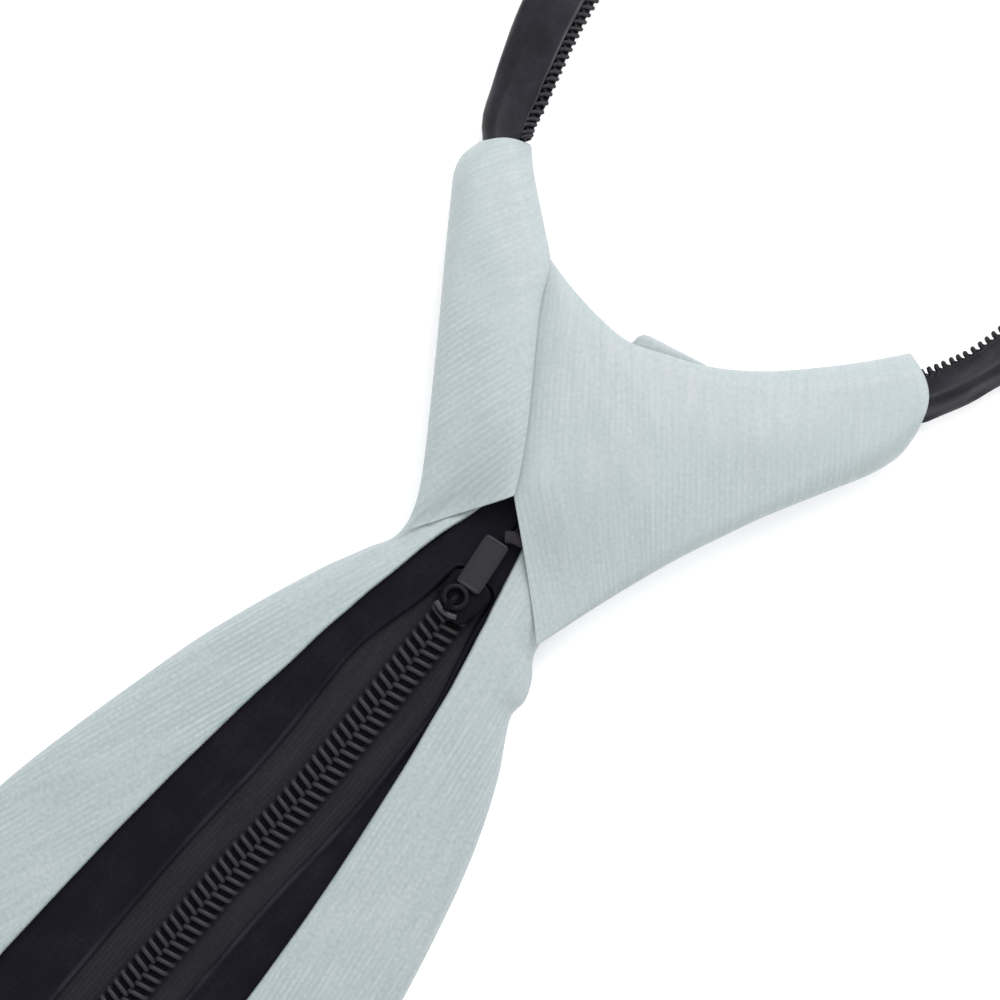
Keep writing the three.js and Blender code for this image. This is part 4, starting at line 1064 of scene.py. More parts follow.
def tail_tape(side):
    """Woven tape from just inside the chain to its sewn edge. Above the slider's middle it is
    parted for the post, and narrower under the knot."""
    y = np.concatenate([np.arange(-1.0, -14.4, -1.2), -np.array(POST_END),
                        np.arange(-17.0, TAIL_END_Y + 3.2, -1.5)])
    middle = at_y(TAIL, "x", y)
    inner = middle + side * np.interp(-y, POST_END, [PARTED_HALF, CLOSED_HALF])
    outer = middle + side * np.interp(-y, KNOT_END, [KNOT_TAPE_HALF, TAPE_HALF])
    sheet = strip_sheet(y, inner, outer, at_y(TAIL, "z", y) + TAPE_THICKNESS, 12)
    return sheet, np.stack([sheet[..., 0] - middle[:, None], sheet[..., 1]], axis=-1)


for name, side in SIDES.items():
    sheet, uv = tail_tape(side)
    add_piece(name + "_tape_weave", [wall(sheet, TAPE_THICKNESS, side, uv)], TAPE,
              [name + "_tape"])


# %% Satin strips
# How deep a strip's top dips, how far from the fold, and how wide that dip is.
PLACKET_DIP = 0.22
DIP_FROM_FOLD = 1.6
DIP_WIDTH = 0.7
FLAP_DISTANCE = 12.0


def placket_edge(y, side):
    """How far a strip keeps from the zip's middle: closed above the slider, clear of the
    slider, then running out to its full distance."""
    down = SLIDER_Y + SLIDER_LENGTH / 2 + SLIDER_GAP - y
    beside = SLIDER_WIDTH / 2 + SLIDER_GAP
    near = np.interp(down, [0, 0.05, 0.35, 0.9, 1.6, 3.0],
                     [0.25, 1.8, 2.65, 3.25, 3.45, beside])
    return near + (PLACKET_INNER[side] - beside) * smooth_step(down, 2.0, 22.0)


def placket_solid(side):
    """Closed strip, laid out from its edge line: a half circle is the fold, the back is flat,
    and the top dips a little beside the fold and sinks slowly towards the blade's flap."""
    top = SLIDER_Y + SLIDER_LENGTH / 2 + SLIDER_GAP
    y = np.concatenate([np.arange(1.6, top + 0.3, -0.8), top - np.array(
        [-0.3, -0.1, 0.0, 0.05, 0.15, 0.3, 0.5, 0.8, 1.2, 1.6, 2.2]),
        np.arange(top - 3, -45, -1.0), np.arange(-45, ZIP_END, -1.6), [ZIP_END]])
    middle = at_y(TAIL, "x", y)
    inner = middle + side * placket_edge(y, side)
    outer = at_y(TAIL, "left" if side < 0 else "right", y)
    low = at_y(TAIL, "z", y) + TAPE_THICKNESS + GAP
    half = PLACKET_THICKNESS / 2
    angle = np.linspace(-np.pi / 2, np.pi / 2, 9)
    fold_in = half * (1 - np.cos(angle))
    fold_z = half * (1 + np.sin(angle))
    reach = np.linspace(0, 1, 18)[1:]
    width = np.abs(outer - inner)[:, None]
    back = half + (width - half) * reach
    section_in = np.concatenate([back[:, ::-1], np.repeat(fold_in[None], len(y), 0), back], axis=1)
    below = smooth_step(top - y, 3.0, 14.0)[:, None]
    from_middle = np.abs(inner - middle)[:, None] + back
    beside_fold = below * np.exp(-((back - DIP_FROM_FOLD) / DIP_WIDTH)**2)
    towards_flap = np.clip(from_middle / FLAP_DISTANCE, 0, 1)
    over = PLACKET_THICKNESS - (PLACKET_DIP * beside_fold + PLACKET_DIP * towards_flap)
    under = np.zeros_like(back)
    section_z = np.concatenate([under, np.repeat(fold_z[None], len(y), 0), over], axis=1)
    x = inner[:, None] + side * section_in
    grid = np.stack([x, np.broadcast_to(y[:, None], x.shape), low[:, None] + section_z], axis=-1)
    top_face = section_z > half
    grid[..., 2] -= np.where(top_face, 0.07 * (1 + unevenness(grid, 14.0, 29 + side)), 0)
    uv = np.stack([section_in * side, grid[..., 1]], axis=-1)
    return loft(grid, uv=uv), grid[:, len(reach) + len(angle) - 1:]


for name, side in SIDES.items():
    solid, sheet = placket_solid(side)
    add_piece(name + "_placket_satin", [solid], PLACKET_SATIN,
              [name + "_placket"], cut=flat_size(sheet))

# %% [markdown]
# ## Tucked cloth and lining
# A corner of the knot's cloth shows past the right wing's upper edge, and a thin lining fills
# the back of the tip between the hems. Both are flat pieces with soft edges. A plate with a
# Bevel modifier would do too, but here the rounded edge is simply part of each section.

# %% Flat pieces with soft edges
def soft_slab(rows, low, high, edge, steps=14):
    """Closed solid through sections along x or y. Each row of numbers is the place along, and
    where the section starts and ends across. Sections are rectangles with rounded ends."""
    along, start, end = (np.asarray(rows, float)[:, k] for k in range(3))
    angle = np.linspace(-np.pi / 2, np.pi / 2, 7)
    half = (high - low) / 2
    flat = np.linspace(0, 1, steps)[1:-1]
    a, b = start[:, None] + edge, end[:, None] - edge
    side_b = b + edge * np.cos(angle)
    side_a = a - edge * np.cos(angle)
    across = np.concatenate([mix(a, b, flat), side_b, mix(b, a, flat), side_a[:, ::-1]], axis=1)
    level = np.concatenate([np.full(len(flat), low), low + half + half * np.sin(angle),
                            np.full(len(flat), high), low + half - half * np.sin(angle)])
    place = np.repeat(along[:, None], across.shape[1], axis=1)
    return np.stack([place, across, np.broadcast_to(level, across.shape)], axis=-1)


# %% Tucked corner of the knot
TUCK = [[-1.8, 23.5, 28.6], [-1.72, 23.5, 29.6], [-1.3, 23.6, 30.35], [-0.4, 23.7, 30.8],
        [2.0, 23.8, 31.35], [5.5, 24.0, 32.15], [8.4, 24.3, 32.8], [8.9, 24.4, 32.6],
        [9.6, 24.4, 30.9], [10.8, 24.5, 27.8], [11.7, 24.3, 25.6]]
tuck = soft_slab(TUCK, 8.7, 9.8, 0.45)
add_piece("knot_tuck_cloth", [loft(tuck, uv=rib_map(tuck[..., 0], tuck[..., 1], 62.0))], CLOTH,
          ["knot_tuck"])

# %% Lining of the tip
LINING_LOW = 1.2
LINING = [[-368, 1.0], [-382, 9.5], [-396, 18.5], [-408, 25.5], [TIP_START, 32.5],
          [-431, 19.6], [-436, 14.8], [-442, 8.9], [-449, 1.9]]
lining = soft_slab([[y, BLADE_CENTRE - half, BLADE_CENTRE + half] for y, half in LINING],
                   LINING_LOW, LINING_LOW + 0.5, 0.2)[..., [1, 0, 2]]
lining_y, lining_half = np.array(LINING).T
lining_steps = -np.diff(lining_y)
lining_area = (lining_steps * (lining_half[1:] + lining_half[:-1])).sum()
add_piece("tip_lining_cloth", [loft(lining, uv=lining[..., :2])], CLOTH,
          ["tip_lining"],
          cut=(2 * lining_half.max() * MM, lining_steps.sum() * MM, lining_area * MM * MM))

# %% [markdown]
# ## Satin end of the zip
# The zip's lower end is held in satin folded over both tapes, deep inside the blade. One fold
# of cloth is a U seen from the side, so the U is drawn once and carried across the tail.

# %% Tail end
TAIL_END_HALF = 14.6
TAIL_END_LAYER = 0.8
TAIL_END_LOW = 1.5


def tail_end_sheet():
    """A U in side view, carried across the tail: straight below, a half circle at the front
    and straight above."""
    low = TAIL_END_LOW
    high = low + 2 * TAIL_END_LAYER + TAPE_THICKNESS + 2 * GAP
    radius = (high - low) / 2
    back, front = TAIL_END_Y + TAIL_END_LENGTH, TAIL_END_Y
    angle = np.linspace(-np.pi / 2, -1.5 * np.pi, 15)
    straight = np.linspace(back, front + radius, 9)[:-1]
    y = np.concatenate([straight, front + radius + radius * np.cos(angle), straight[::-1]])
    z = np.concatenate([np.full(8, low), low + radius + radius * np.sin(angle), np.full(8, high)])
    x = np.linspace(-TAIL_END_HALF, TAIL_END_HALF, 31) + BLADE_CENTRE
    return np.stack([np.repeat(x[:, None], len(y), 1), np.repeat(y[None], len(x), 0),
                     np.repeat(z[None], len(x), 0)], axis=-1)


end_sheet = tail_end_sheet()
end_uv = np.stack([end_sheet[..., 0], along_section(end_sheet)], axis=-1)
add_piece("tail_end_satin", [wall(end_sheet, TAIL_END_LAYER, 1, end_uv)], SATIN,
          ["tail_end"], cut=flat_size(end_sheet))

# %% [markdown]
# ## The neck loop
# Each half of the loop is one side of an open zip: a coil on a tape that satin is folded
# round. The tape is inside the satin, so only the fold and the coil show.
# A Curve object with a bevel could carry a section along a route, but it twists as it likes. A
# strap lies flat here and leans there, so its route gives the direction across at every place,
# and the coil stays on the side of the neck.

# %% Routes of the two neck halves
NECK_COLUMNS = "x y z width thick lean"
LEFT_NECK = [
    [-2.4, 5.0, 9.4, 6.0, 2.0, 0],
    [-7.6, 9.0, 10.2, 6.0, 2.0, 4],
    [-15.0, 14.6, 10.6, 6.0, 2.0, 8],
    [-22.5, 21.8, 10.6, 6.0, 2.0, 14],
    [-29.2, 30.6, 9.7, 5.4, 2.0, 30],
    [-33.9, 38.2, 7.2, 5.2, 2.0, 50],
    [-36.1, 41.2, 7.0, 6.0, 2.3, 46],
    [-37.5, 45.25, 6.6, 10.6, 2.6, 40],
    [-39.3, 50.2, 5.8, 10.6, 2.7, 34],
    [-41.6, 57.6, 4.8, 10.6, 2.7, 26],
    [-44.8, 72.0, 3.2, 10.6, 2.7, 14],
]
RIGHT_NECK = [
    [8.4, 5.0, 9.4, 6.0, 2.0, 0],
    [11.8, 9.6, 10.2, 6.4, 2.0, 2],
    [16.5, 18.0, 10.4, 6.8, 2.1, 4],
    [22.6, 28.4, 10.2, 7.0, 2.2, 12],
    [29.4, 39.0, 9.0, 7.4, 2.2, 24],
    [35.2, 49.4, 7.1, 8.4, 2.3, 45],
    [38.0, 54.8, 6.7, 10.2, 2.5, 48],
    [39.7, 59.4, 6.4, 10.6, 2.6, 50],
    [42.6, 68.4, 5.4, 10.6, 2.7, 32],
    [46.2, 80.0, 3.6, 10.6, 2.7, 16],
]
NECK_SIDE = [
    [50.6, 97, 1.9, 10.6, 2.7, 4],
    [53.2, 116, 1.4, 10.6, 2.7, 0],
    [52.6, 136, 1.4, 10.6, 2.7, 0],
    [48.2, 156, 1.4, 10.6, 2.7, 0],
    [39.4, 174, 1.5, 10.6, 2.7, 0],
    [27.0, 186.4, 2.1, 10.6, 2.7, 0],
    [13.0, 192.9, 2.75, 10.6, 2.7, 0],
    [1.1, 194.6, 2.75, 10.6, 2.7, 0],
]
NECK_WIDTH = {-1: 10.6, 1: 9.8}
NECK_SHIFT = {-1: 0.5, 1: 0.3}


# %% Place and directions along a route
class NeckRoute:
    """One neck half: a cubic curve through its table, asked for by distance along it. Just
    inside the wing's mouth the strap is squeezed to the width of the tube."""

    def __init__(self, rows, side, mouth, squeeze):
        """Measures the curve, and finds the distance at which it passes the wing's mouth."""
        self.side = side
        self.squeeze = squeeze
        mirrored = [[x * side, *rest] for x, *rest in NECK_SIDE]
        self.rows = table(NECK_COLUMNS, rows + mirrored)
        self.position = np.linspace(0, len(rows) + len(mirrored) - 1, 1400)
        line = np.stack([through(self.rows, key, self.position) for key in "xyz"], axis=-1)
        steps = np.linalg.norm(np.diff(line, axis=0), axis=1)
        self.distance = np.concatenate([[0], np.cumsum(steps)])
        self.length = self.distance[-1]
        nearest = np.argmin(np.linalg.norm(line[:, :2] - mouth, axis=1))
        self.mouth = self.distance[nearest]

    def at(self, distance):
        """Middle, direction across towards the coil, direction through, width and thickness."""
        position = np.interp(distance, self.distance, self.position)

        def line(p):
            """The curve's points."""
            return np.stack([through(self.rows, key, p) for key in "xyz"], axis=-1)

        last = self.position[-1]
        ahead, behind = (line(np.clip(position + step, 0, last)) for step in (0.02, -0.02))
        along = unit(ahead - behind)
        across = unit(np.stack([along[:, 1], -along[:, 0], 0 * along[:, 0]], axis=-1)) * -self.side
        lean = np.radians(through(self.rows, "lean", position))
        across *= np.cos(lean)[:, None]
        across[:, 2] = np.sin(lean)
        across = unit(across - (across * along).sum(axis=1, keepdims=True) * along)
        width, thick = (through(self.rows, key, position) for key in ("width", "thick"))
        free = smooth_step(distance, self.mouth + self.squeeze[0], self.mouth + self.squeeze[1])
        width = mix(width, NECK_WIDTH[self.side], free)
        middle = line(position) + across * (NECK_SHIFT[self.side] * free)[:, None]
        return middle, across, np.cross(along, across) * self.side, width, thick


ROUTES = {"left": NeckRoute(LEFT_NECK, -1, (-34.0, 38.4), (0.2, 0.8)),
          "right": NeckRoute(RIGHT_NECK, 1, (35.8, 50.3), (-3.0, -0.6))}
for name, route in ROUTES.items():
    print(name, "neck half:", round(route.length, 1), "mm long")

# %% Satin round the neck tapes
NECK_SATIN = 0.3
NECK_COIL_WIDTH = 2.1
PUCKER_HEIGHT = 0.05
PUCKER_PITCH = 2.7
UNEVEN_DEPTH = 0.22


def neck_sheet(route, pleat, pleat_depth, under_coil, over_coil, drawn_by):
    """Satin in a flat C: from the coil's side below, round the outer fold, which is a half
    circle, and back above. Its layers draw together at the coil, where they are sewn, and
    small sine waves pucker it there. One long pleat runs on top: a groove beside a ridge, each
    a bell curve across the strap."""
    start = route.mouth + route.squeeze[0]
    distance = np.concatenate([np.arange(0.4, start - 0.4, 1.6),
                               np.arange(start - 0.1, start + 2, 0.15),
                               np.arange(start + 2.4, route.length, 1.4)])
    middle, across, up, width, thick = route.at(distance)
    outer = -width / 2 - NECK_SATIN
    reach = np.concatenate([np.linspace(1, 0, 12, endpoint=False), np.zeros(9),
                            np.linspace(0, 1, 13)[1:]])
    angle = np.concatenate([np.full(12, -np.pi / 2), np.linspace(-np.pi / 2, np.pi / 2, 9),
                            np.full(12, np.pi / 2)])
    cover = np.where(angle < 0, under_coil, over_coil)
    inner = (width / 2 - NECK_COIL_WIDTH)[:, None] + cover
    radius = (thick / 2)[:, None]
    flat = inner - outer[:, None] - radius
    place = outer[:, None] + radius * (1 - np.cos(angle)) + flat * reach
    drawn = 1 - drawn_by * reach**2
    height = radius * np.sin(angle) * drawn
    on_top = angle >= np.pi / 2
    puckers = PUCKER_HEIGHT * np.sin(2 * np.pi * distance / PUCKER_PITCH)[:, None] * reach**3
    crease = pleat_depth * np.exp(-((reach - pleat) / 0.07)**2)
    rise = 0.5 * pleat_depth * np.exp(-((reach - pleat + 0.16) / 0.1)**2)
    height = height - np.where(on_top, crease - rise, 0) + puckers * np.sign(height)
    grid = middle[:, None] + across[:, None] * place[..., None] + up[:, None] * height[..., None]
    slow = UNEVEN_DEPTH * unevenness(grid, 7.0, 41)[..., None] * up[:, None]
    uv = np.stack([place, np.repeat(distance[:, None], place.shape[1], 1)], axis=-1)
    return grid - np.abs(slow * on_top[None, :, None]), uv


# %% Wire of an open zip
NECK_COIL_HEIGHT = 1.5
NECK_PITCH = 1.25


def neck_wire(route, lift, stepped, radius, heads):
    """Half of an open zip: one wound wire whose heads stick out at the side of the neck. It
    moves on to the next tooth at the tape when it is `stepped`, so each head is a plain loop."""
    count = int(route.length / NECK_PITCH) - 1
    winding = np.linspace(0, 2 * np.pi * count, 20 * count)
    turns = winding / (2 * np.pi)
    advance = np.floor(turns) + mix(turns % 1, smooth_step(turns % 1, 0.22, 0.78), stepped)
    distance = 0.8 + NECK_PITCH * advance
    middle, across, up, width, _ = route.at(distance)
    half = NECK_COIL_WIDTH / 2
    centre = middle + across * (width / 2 - half)[:, None] + up * lift
    return wound_wire(centre, across, up, winding, half - radius, NECK_COIL_HEIGHT / 2 - radius,
                      radius, heads)


# %% Both neck halves
# Where along the satin's reach its pleat runs and how deep it is, how far the satin covers the
# coil below and above, and how much its layers draw together. Then the coil's wire.
NECK = {
    "left": {"satin": {"pleat": 0.28, "pleat_depth": 0.16, "under_coil": 1.3,
                       "over_coil": 0.45, "drawn_by": 0.45},
             "wire": {"lift": 0.1, "stepped": 0.3, "radius": 0.34, "heads": 0.0},
             "nylon": NYLON},
    "right": {"satin": {"pleat": 0.42, "pleat_depth": 0.26, "under_coil": -0.5,
                        "over_coil": 1.25, "drawn_by": 0.35},
              "wire": {"lift": 0.0, "stepped": 1.0, "radius": 0.4, "heads": -0.15},
              "nylon": SHADED_NYLON},
}
for name, how in NECK.items():
    route = ROUTES[name]
    sheet, uv = neck_sheet(route, **how["satin"])
    add_piece(name + "_neck_satin", [wall(sheet, NECK_SATIN, route.side, uv)], SHEEN_PAINTED_SATIN,
              [name + "_neck_strap"], cut=flat_size(sheet))
    add_piece(name + "_neck_wire", [neck_wire(route, **how["wire"])], how["nylon"],
              [name + "_neck_coil"])

# %% [markdown]
# ## Nape sleeve
# At the back of the neck both halves end in a satin sleeve. It is sewn across at both ends,
# which gathers the satin into small folds there. Folds as even as these are waves round a
# tube. Sculpting them by hand would only be worth it for a view from very near.

# %% Nape sleeve
NAPE_Y = 194.2
NAPE_LENGTH = 18.0
NAPE_WIDTH = 15.2
NAPE_HEIGHT = 5.5
NAPE_WALL = 0.8
NAPE_ROUNDNESS = 0.6
# Depth of the gathers, how far they reach from the ends, and how much the ends are drawn in.
# Then the dip along each seam, and how far from the end it lies.
GATHER_DEPTH = 0.20
GATHER_REACH = 2.2
DRAWN_IN = 0.22
SEAM_DIP = 0.18
SEAM_FROM_END = 1.9


def nape_rings():
    """Flattened tube: outer rings from end to end, then inner rings back. The gathers are
    waves round the tube, deep at the ends and gone in the middle."""
    half = NAPE_LENGTH / 2
    x = np.concatenate([[-half + 0.05], np.linspace(-half + 0.35, half - 0.35, 25), [half - 0.05]])
    angle = np.linspace(0, 2 * np.pi, 96, endpoint=False)
    square_y = np.sign(np.cos(angle)) * np.abs(np.cos(angle))**NAPE_ROUNDNESS
    square_z = np.sign(np.sin(angle)) * np.abs(np.sin(angle))**NAPE_ROUNDNESS

    def rings(shrink, at):
        """Rings at these places along, smaller by `shrink` all round."""
        ends = np.exp(-(half - np.abs(at)) / GATHER_REACH)[:, None]
        waves = np.sin(11 * angle) + 0.5 * np.sin(17 * angle + 1.0)
        fold = GATHER_DEPTH * ends * waves - DRAWN_IN * ends
        waist = SEAM_DIP * np.exp(-((half - np.abs(at) - SEAM_FROM_END) / 0.5)**2)[:, None]
        y = (NAPE_WIDTH / 2 - shrink + fold - waist) * square_y
        z = (NAPE_HEIGHT / 2 - shrink + fold - waist) * square_z
        place = np.repeat(at[:, None], len(angle), 1)
        return np.stack([place, NAPE_Y + y, NAPE_HEIGHT / 2 + z], axis=-1)

    outer = rings(0.0, x)
    outer[[0, -1]] = rings(0.25, x)[[0, -1]]
    inner = rings(NAPE_WALL, x[::-1])
    return np.concatenate([outer, inner])


nape = nape_rings()
nape_uv = np.stack([nape[..., 1], nape[..., 0]], axis=-1)
nape_outer = nape[:len(nape) // 2]
nape_cloth = np.concatenate([nape_outer, nape_outer[:, :1]], axis=1)
add_piece("nape_satin", [loft(nape, closed=True, uv=nape_uv)], SATIN,
          ["nape_sleeve"], cut=flat_size(nape_cloth))

# %% [markdown]
# ## Stitches
# The sleeve is sewn down at both ends and the satin end of the zip along its open side. Each
# stitch is a short thread that comes up out of the cloth and goes back in. A texture could
# draw them, but at this size a real thread catches light and casts a small shadow.

# %% Rows of stitches
UP = np.array([0.0, 0.0, 1.0])


def stitch_row(start, end, rise, pitch=2.4, length=1.7, radius=0.15, sunk=0.12, arch=0.22):
    """Stitches evenly spaced from start to end. The middle of each follows half a sine wave
    whose ends are sunk in the cloth, and `rise` gives the height of the cloth at each share of
    the way along the row."""
    start, end = np.array(start, float), np.array(end, float)
    reach = np.linalg.norm(end - start)
    count = int(reach / pitch)
    angle = np.linspace(0, 2 * np.pi, 6, endpoint=False)
    t = np.linspace(0, 1, 7)
    solids = []
    for middle in (np.arange(count) + 0.5) / count:
        share = middle + (t - 0.5) * length / reach
        path = start + (end - start) * share[:, None]
        path[:, 2] += rise(share) - sunk + arch * np.sin(np.pi * t)
        side = np.cross((end - start) / reach, UP)
        rings = (path[:, None] + radius * np.cos(angle)[None, :, None] * side
                 + radius * np.sin(angle)[None, :, None] * UP)
        solids.append(loft(rings, uv=rings[..., :2]))
    return solids


# %% Seams of the sleeve and of the zip's end
SLEEVE_SEAM_X = NAPE_LENGTH / 2 - SEAM_FROM_END
SLEEVE_SEAM_HALF = 5.6
SLEEVE_DIP = 0.27
END_SEAM_HALF = TAIL_END_HALF - 1.0
END_SEAM_Y = TAIL_END_Y + 9.6
END_SEAM_HEIGHT = 4.3


def sleeve_rise(share):
    """Height of the sleeve's top where it is sewn: the tube's rounded section, less the dip."""
    across = np.clip(np.abs(share - 0.5) * 2 * SLEEVE_SEAM_HALF / (NAPE_WIDTH / 2), 0, 1)
    round_part = (1 - across ** (2 / NAPE_ROUNDNESS)) ** (NAPE_ROUNDNESS / 2)
    return (NAPE_HEIGHT / 2 - SLEEVE_DIP) * round_part


sleeve_stitches = []
for x in (-SLEEVE_SEAM_X, SLEEVE_SEAM_X):
    sleeve_stitches += stitch_row([x, NAPE_Y - SLEEVE_SEAM_HALF, NAPE_HEIGHT / 2],
                                  [x, NAPE_Y + SLEEVE_SEAM_HALF, NAPE_HEIGHT / 2], sleeve_rise)
end_stitches = stitch_row([BLADE_CENTRE - END_SEAM_HALF, END_SEAM_Y, END_SEAM_HEIGHT],
                          [BLADE_CENTRE + END_SEAM_HALF, END_SEAM_Y, END_SEAM_HEIGHT],
                          np.zeros_like)
add_piece("nape_stitches", sleeve_stitches, THREAD)
add_piece("tail_end_stitches", end_stitches, THREAD)
print("stitches:", len(sleeve_stitches) + len(end_stitches))

# %% [markdown]
# ## Slider and pull
# The slider is cast: two plates joined by a post, with side walls that keep the coils in and a
# small bridge on top that holds the pull. The pull is a flat tab with a ring at its end.
# Every edge is rounded a little, since a sharp edge would look cut out of paper. Its plates
# are outlines stacked in smaller and larger copies, and the bridge, ring and rim are bars
# carried along a path. Bevelled boxes would be quicker, but they wouldn't have its waist.

# %% Plates with rounded edges
def outline_inward(outline, distance):
    """The closed outline moved inwards, square to itself."""
    along = unit(np.roll(outline, -1, axis=0) - np.roll(outline, 1, axis=0))
    inward = np.stack([-along[:, 1], along[:, 0]], axis=-1)
    middle = outline.mean(axis=0)
    if ((middle - outline) * inward).sum() < 0:
        inward = -inward
    return outline + inward * distance


def pillow(outline, low, high, edge):
    """Plate with that outline in plan and edges rounded by quarter circles."""
    angle = np.linspace(0, np.pi / 2, 5)
    insets = np.concatenate([[edge * 1.6], edge * (1 - np.sin(angle)), edge * (1 - np.cos(angle)),
                             [edge * 1.6]])
    levels = np.concatenate([[low], low + edge * (1 - np.cos(angle)),
                             high - edge * (1 - np.sin(angle)), [high]])
    return loft(np.stack([np.column_stack([outline_inward(outline, inset),
                                           np.full(len(outline), level)])
                          for inset, level in zip(insets, levels)]))


# %% Rounded corners, and bars along a path
def round_corners(corners, radius, steps=6):
    """Polygon whose corners are replaced by arcs, as points."""
    corners = np.asarray(corners, float)
    points = []
    for k, corner in enumerate(corners):
        before, after = corners[k - 1], corners[(k + 1) % len(corners)]
        a = corner + unit(before - corner) * min(radius, np.linalg.norm(before - corner) / 2)
        b = corner + unit(after - corner) * min(radius, np.linalg.norm(after - corner) / 2)
        t = np.linspace(0, 1, steps)[:, None]
        points.append((1 - t)**2 * a + 2 * t * (1 - t) * corner + t * t * b)
    points = np.concatenate(points)
    return points[np.linalg.norm(points - np.roll(points, 1, axis=0), axis=1) > 0.02]


def bar_along(path, half_width, half_height, side, closed=False, sides=10):
    """Bar with a rounded section carried along a path; `side` is the direction of its width."""
    if closed:
        ahead = np.roll(path, -1, axis=0) - np.roll(path, 1, axis=0)
    else:
        ahead = np.gradient(path, axis=0)
    along = unit(ahead)
    width_way = unit(side - (side * along).sum(axis=1, keepdims=True) * along)
    height_way = np.cross(along, width_way)
    angle = np.linspace(0, 2 * np.pi, sides, endpoint=False)
    square = np.sign(np.cos(angle)) * np.abs(np.cos(angle))**0.7
    level = np.sign(np.sin(angle)) * np.abs(np.sin(angle))**0.7
    rings = (path[:, None] + width_way[:, None] * (half_width * square)[None, :, None]
             + height_way[:, None] * (half_height * level)[None, :, None])
    return loft(rings, closed=closed)


def moved(solid, x, y, z, turn=0.0):
    """The solid turned about the upright axis, in radians, and then moved."""
    points, quads, triangles, uv = solid
    cosine, sine = math.cos(turn), math.sin(turn)
    turned = np.column_stack([points[:, 0] * cosine - points[:, 1] * sine,
                              points[:, 0] * sine + points[:, 1] * cosine, points[:, 2]])
    return turned + [x, y, z], quads, triangles, uv


# %% Slider
# The plates' right side in plan, from the mouth to the nose, as shares of half the width and
# length, and the post's outline.
SLIDER_SIDE = [(0.72, -0.85), (0.83, -0.4), (1.0, 0.3), (0.9, 0.85), (0.42, 1.0)]
SLIDER_CORNERS = 1.3
POST = [(0, 1.9), (0.9, 2.9), (0.5, 3.8), (-0.5, 3.8), (-0.9, 2.9)]
CHAIN_TOP = float(at_y(TAIL, "z", SLIDER_Y)) + TAPE_THICKNESS + GAP + COIL_HEIGHT
PLATE = 0.9
PLATE_LOW = CHAIN_TOP + 0.45
PLATE_TOP = PLATE_LOW + PLATE
RAIL_WIDTH = 0.75
BRIDGE_X, BRIDGE_Y, BRIDGE_HALF = -0.75, -1.15, 1.35
BRIDGE_WIDE, BRIDGE_THICK = 0.5, 0.28


def slider_plates():
    """Upper and lower plate: one side mirrored to the other, its corners rounded."""
    right = np.array(SLIDER_SIDE) * [SLIDER_WIDTH / 2, SLIDER_LENGTH / 2]
    corners = np.concatenate([right, right[::-1] * [-1, 1]])
    outline = round_corners(np.roll(corners, 1, axis=0), SLIDER_CORNERS)
    low = float(at_y(TAIL, "z", SLIDER_Y)) - GAP - PLATE
    post = pillow(round_corners(POST, 0.5), low + 0.3, PLATE_TOP - 0.3, 0.1)
    return [pillow(outline, low, low + PLATE, 0.3), pillow(outline, PLATE_LOW, PLATE_TOP, 0.34),
            post]


def slider_rail(side):
    """Side wall between the plates, from behind their middle to beside the post."""
    half = SLIDER_WIDTH / 2
    outer, inner = side * (half - 0.02), side * (half - RAIL_WIDTH)
    rail = round_corners([(outer, -1.2), (outer, 2.6), (side * (half - 0.2), 3.0), (inner, 3.0),
                          (inner, -1.2)], 0.3)
    low = float(at_y(TAIL, "z", SLIDER_Y)) + TAPE_THICKNESS + GAP
    return pillow(rail, low, PLATE_LOW + 0.25, 0.12)


def slider_bridge():
    """Bar that rises out of the upper plate, goes over in half an ellipse and back in."""
    t = np.linspace(0, np.pi, 15)
    foot = PLATE_TOP - 0.3
    y = np.concatenate([[BRIDGE_Y + BRIDGE_HALF], BRIDGE_Y + BRIDGE_HALF * np.cos(t),
                        [BRIDGE_Y - BRIDGE_HALF]])
    z = np.concatenate([[foot], PLATE_TOP + 0.95 + 1.0 * np.sin(t), [foot]])
    path = np.column_stack([np.full(len(y), BRIDGE_X), y, z])
    return bar_along(path, BRIDGE_WIDE, BRIDGE_THICK, np.array([1.0, 0.0, 0.0]))


slider_solids = slider_plates() + [slider_rail(side) for side in SIDES.values()]
slider_solids += [slider_bridge()]
add_piece("slider_body", [moved(solid, SLIDER_X, SLIDER_Y, 0.0) for solid in slider_solids],
          BODY_METAL, ["slider"])

# %% Ridge of the slider's mouth, painted pale as a highlight
RIDGE_HALF_LENGTH = 1.9
RIDGE_X, RIDGE_Y = -0.65, -2.98
RIDGE_BEND = 0.14


def highlit_ridge():
    """The ridge across the slider's mouth, in a pale metal whose colour is a painted highlight: a
    bar along a parabola, so that its ends bend a little towards the nose."""
    x = np.linspace(-RIDGE_HALF_LENGTH, RIDGE_HALF_LENGTH, 15)
    path = np.column_stack([x + RIDGE_X, RIDGE_Y + RIDGE_BEND * x**2,
                            np.full(15, PLATE_TOP + 0.4)])
    return moved(bar_along(path, 0.46, 0.42, np.array([0.0, 1.0, 0.0])), SLIDER_X, SLIDER_Y, 0.0)


add_piece("slider_ridge", [highlit_ridge()], HIGHLIGHT_METAL)

# %% Pull tab
TAB_LOW = PLATE_TOP + GAP
TAB_THICKNESS = 1.0
TAB_X, TAB_Y, TAB_TURN = 3.08, -15.75, 0.12
TAB_WIDTH, TAB_LENGTH, TAB_START = 3.95, 8.05, 1.78
RING_HALF_WIDTH, RING_HALF_LENGTH = 1.62, 1.55
RING_X, RING_Y = -0.72, -0.4
RIM_IN, RIM_HALF, RING_BAR_HALF = 0.34, 0.32, 0.45
PLATE_SUNK = 0.08


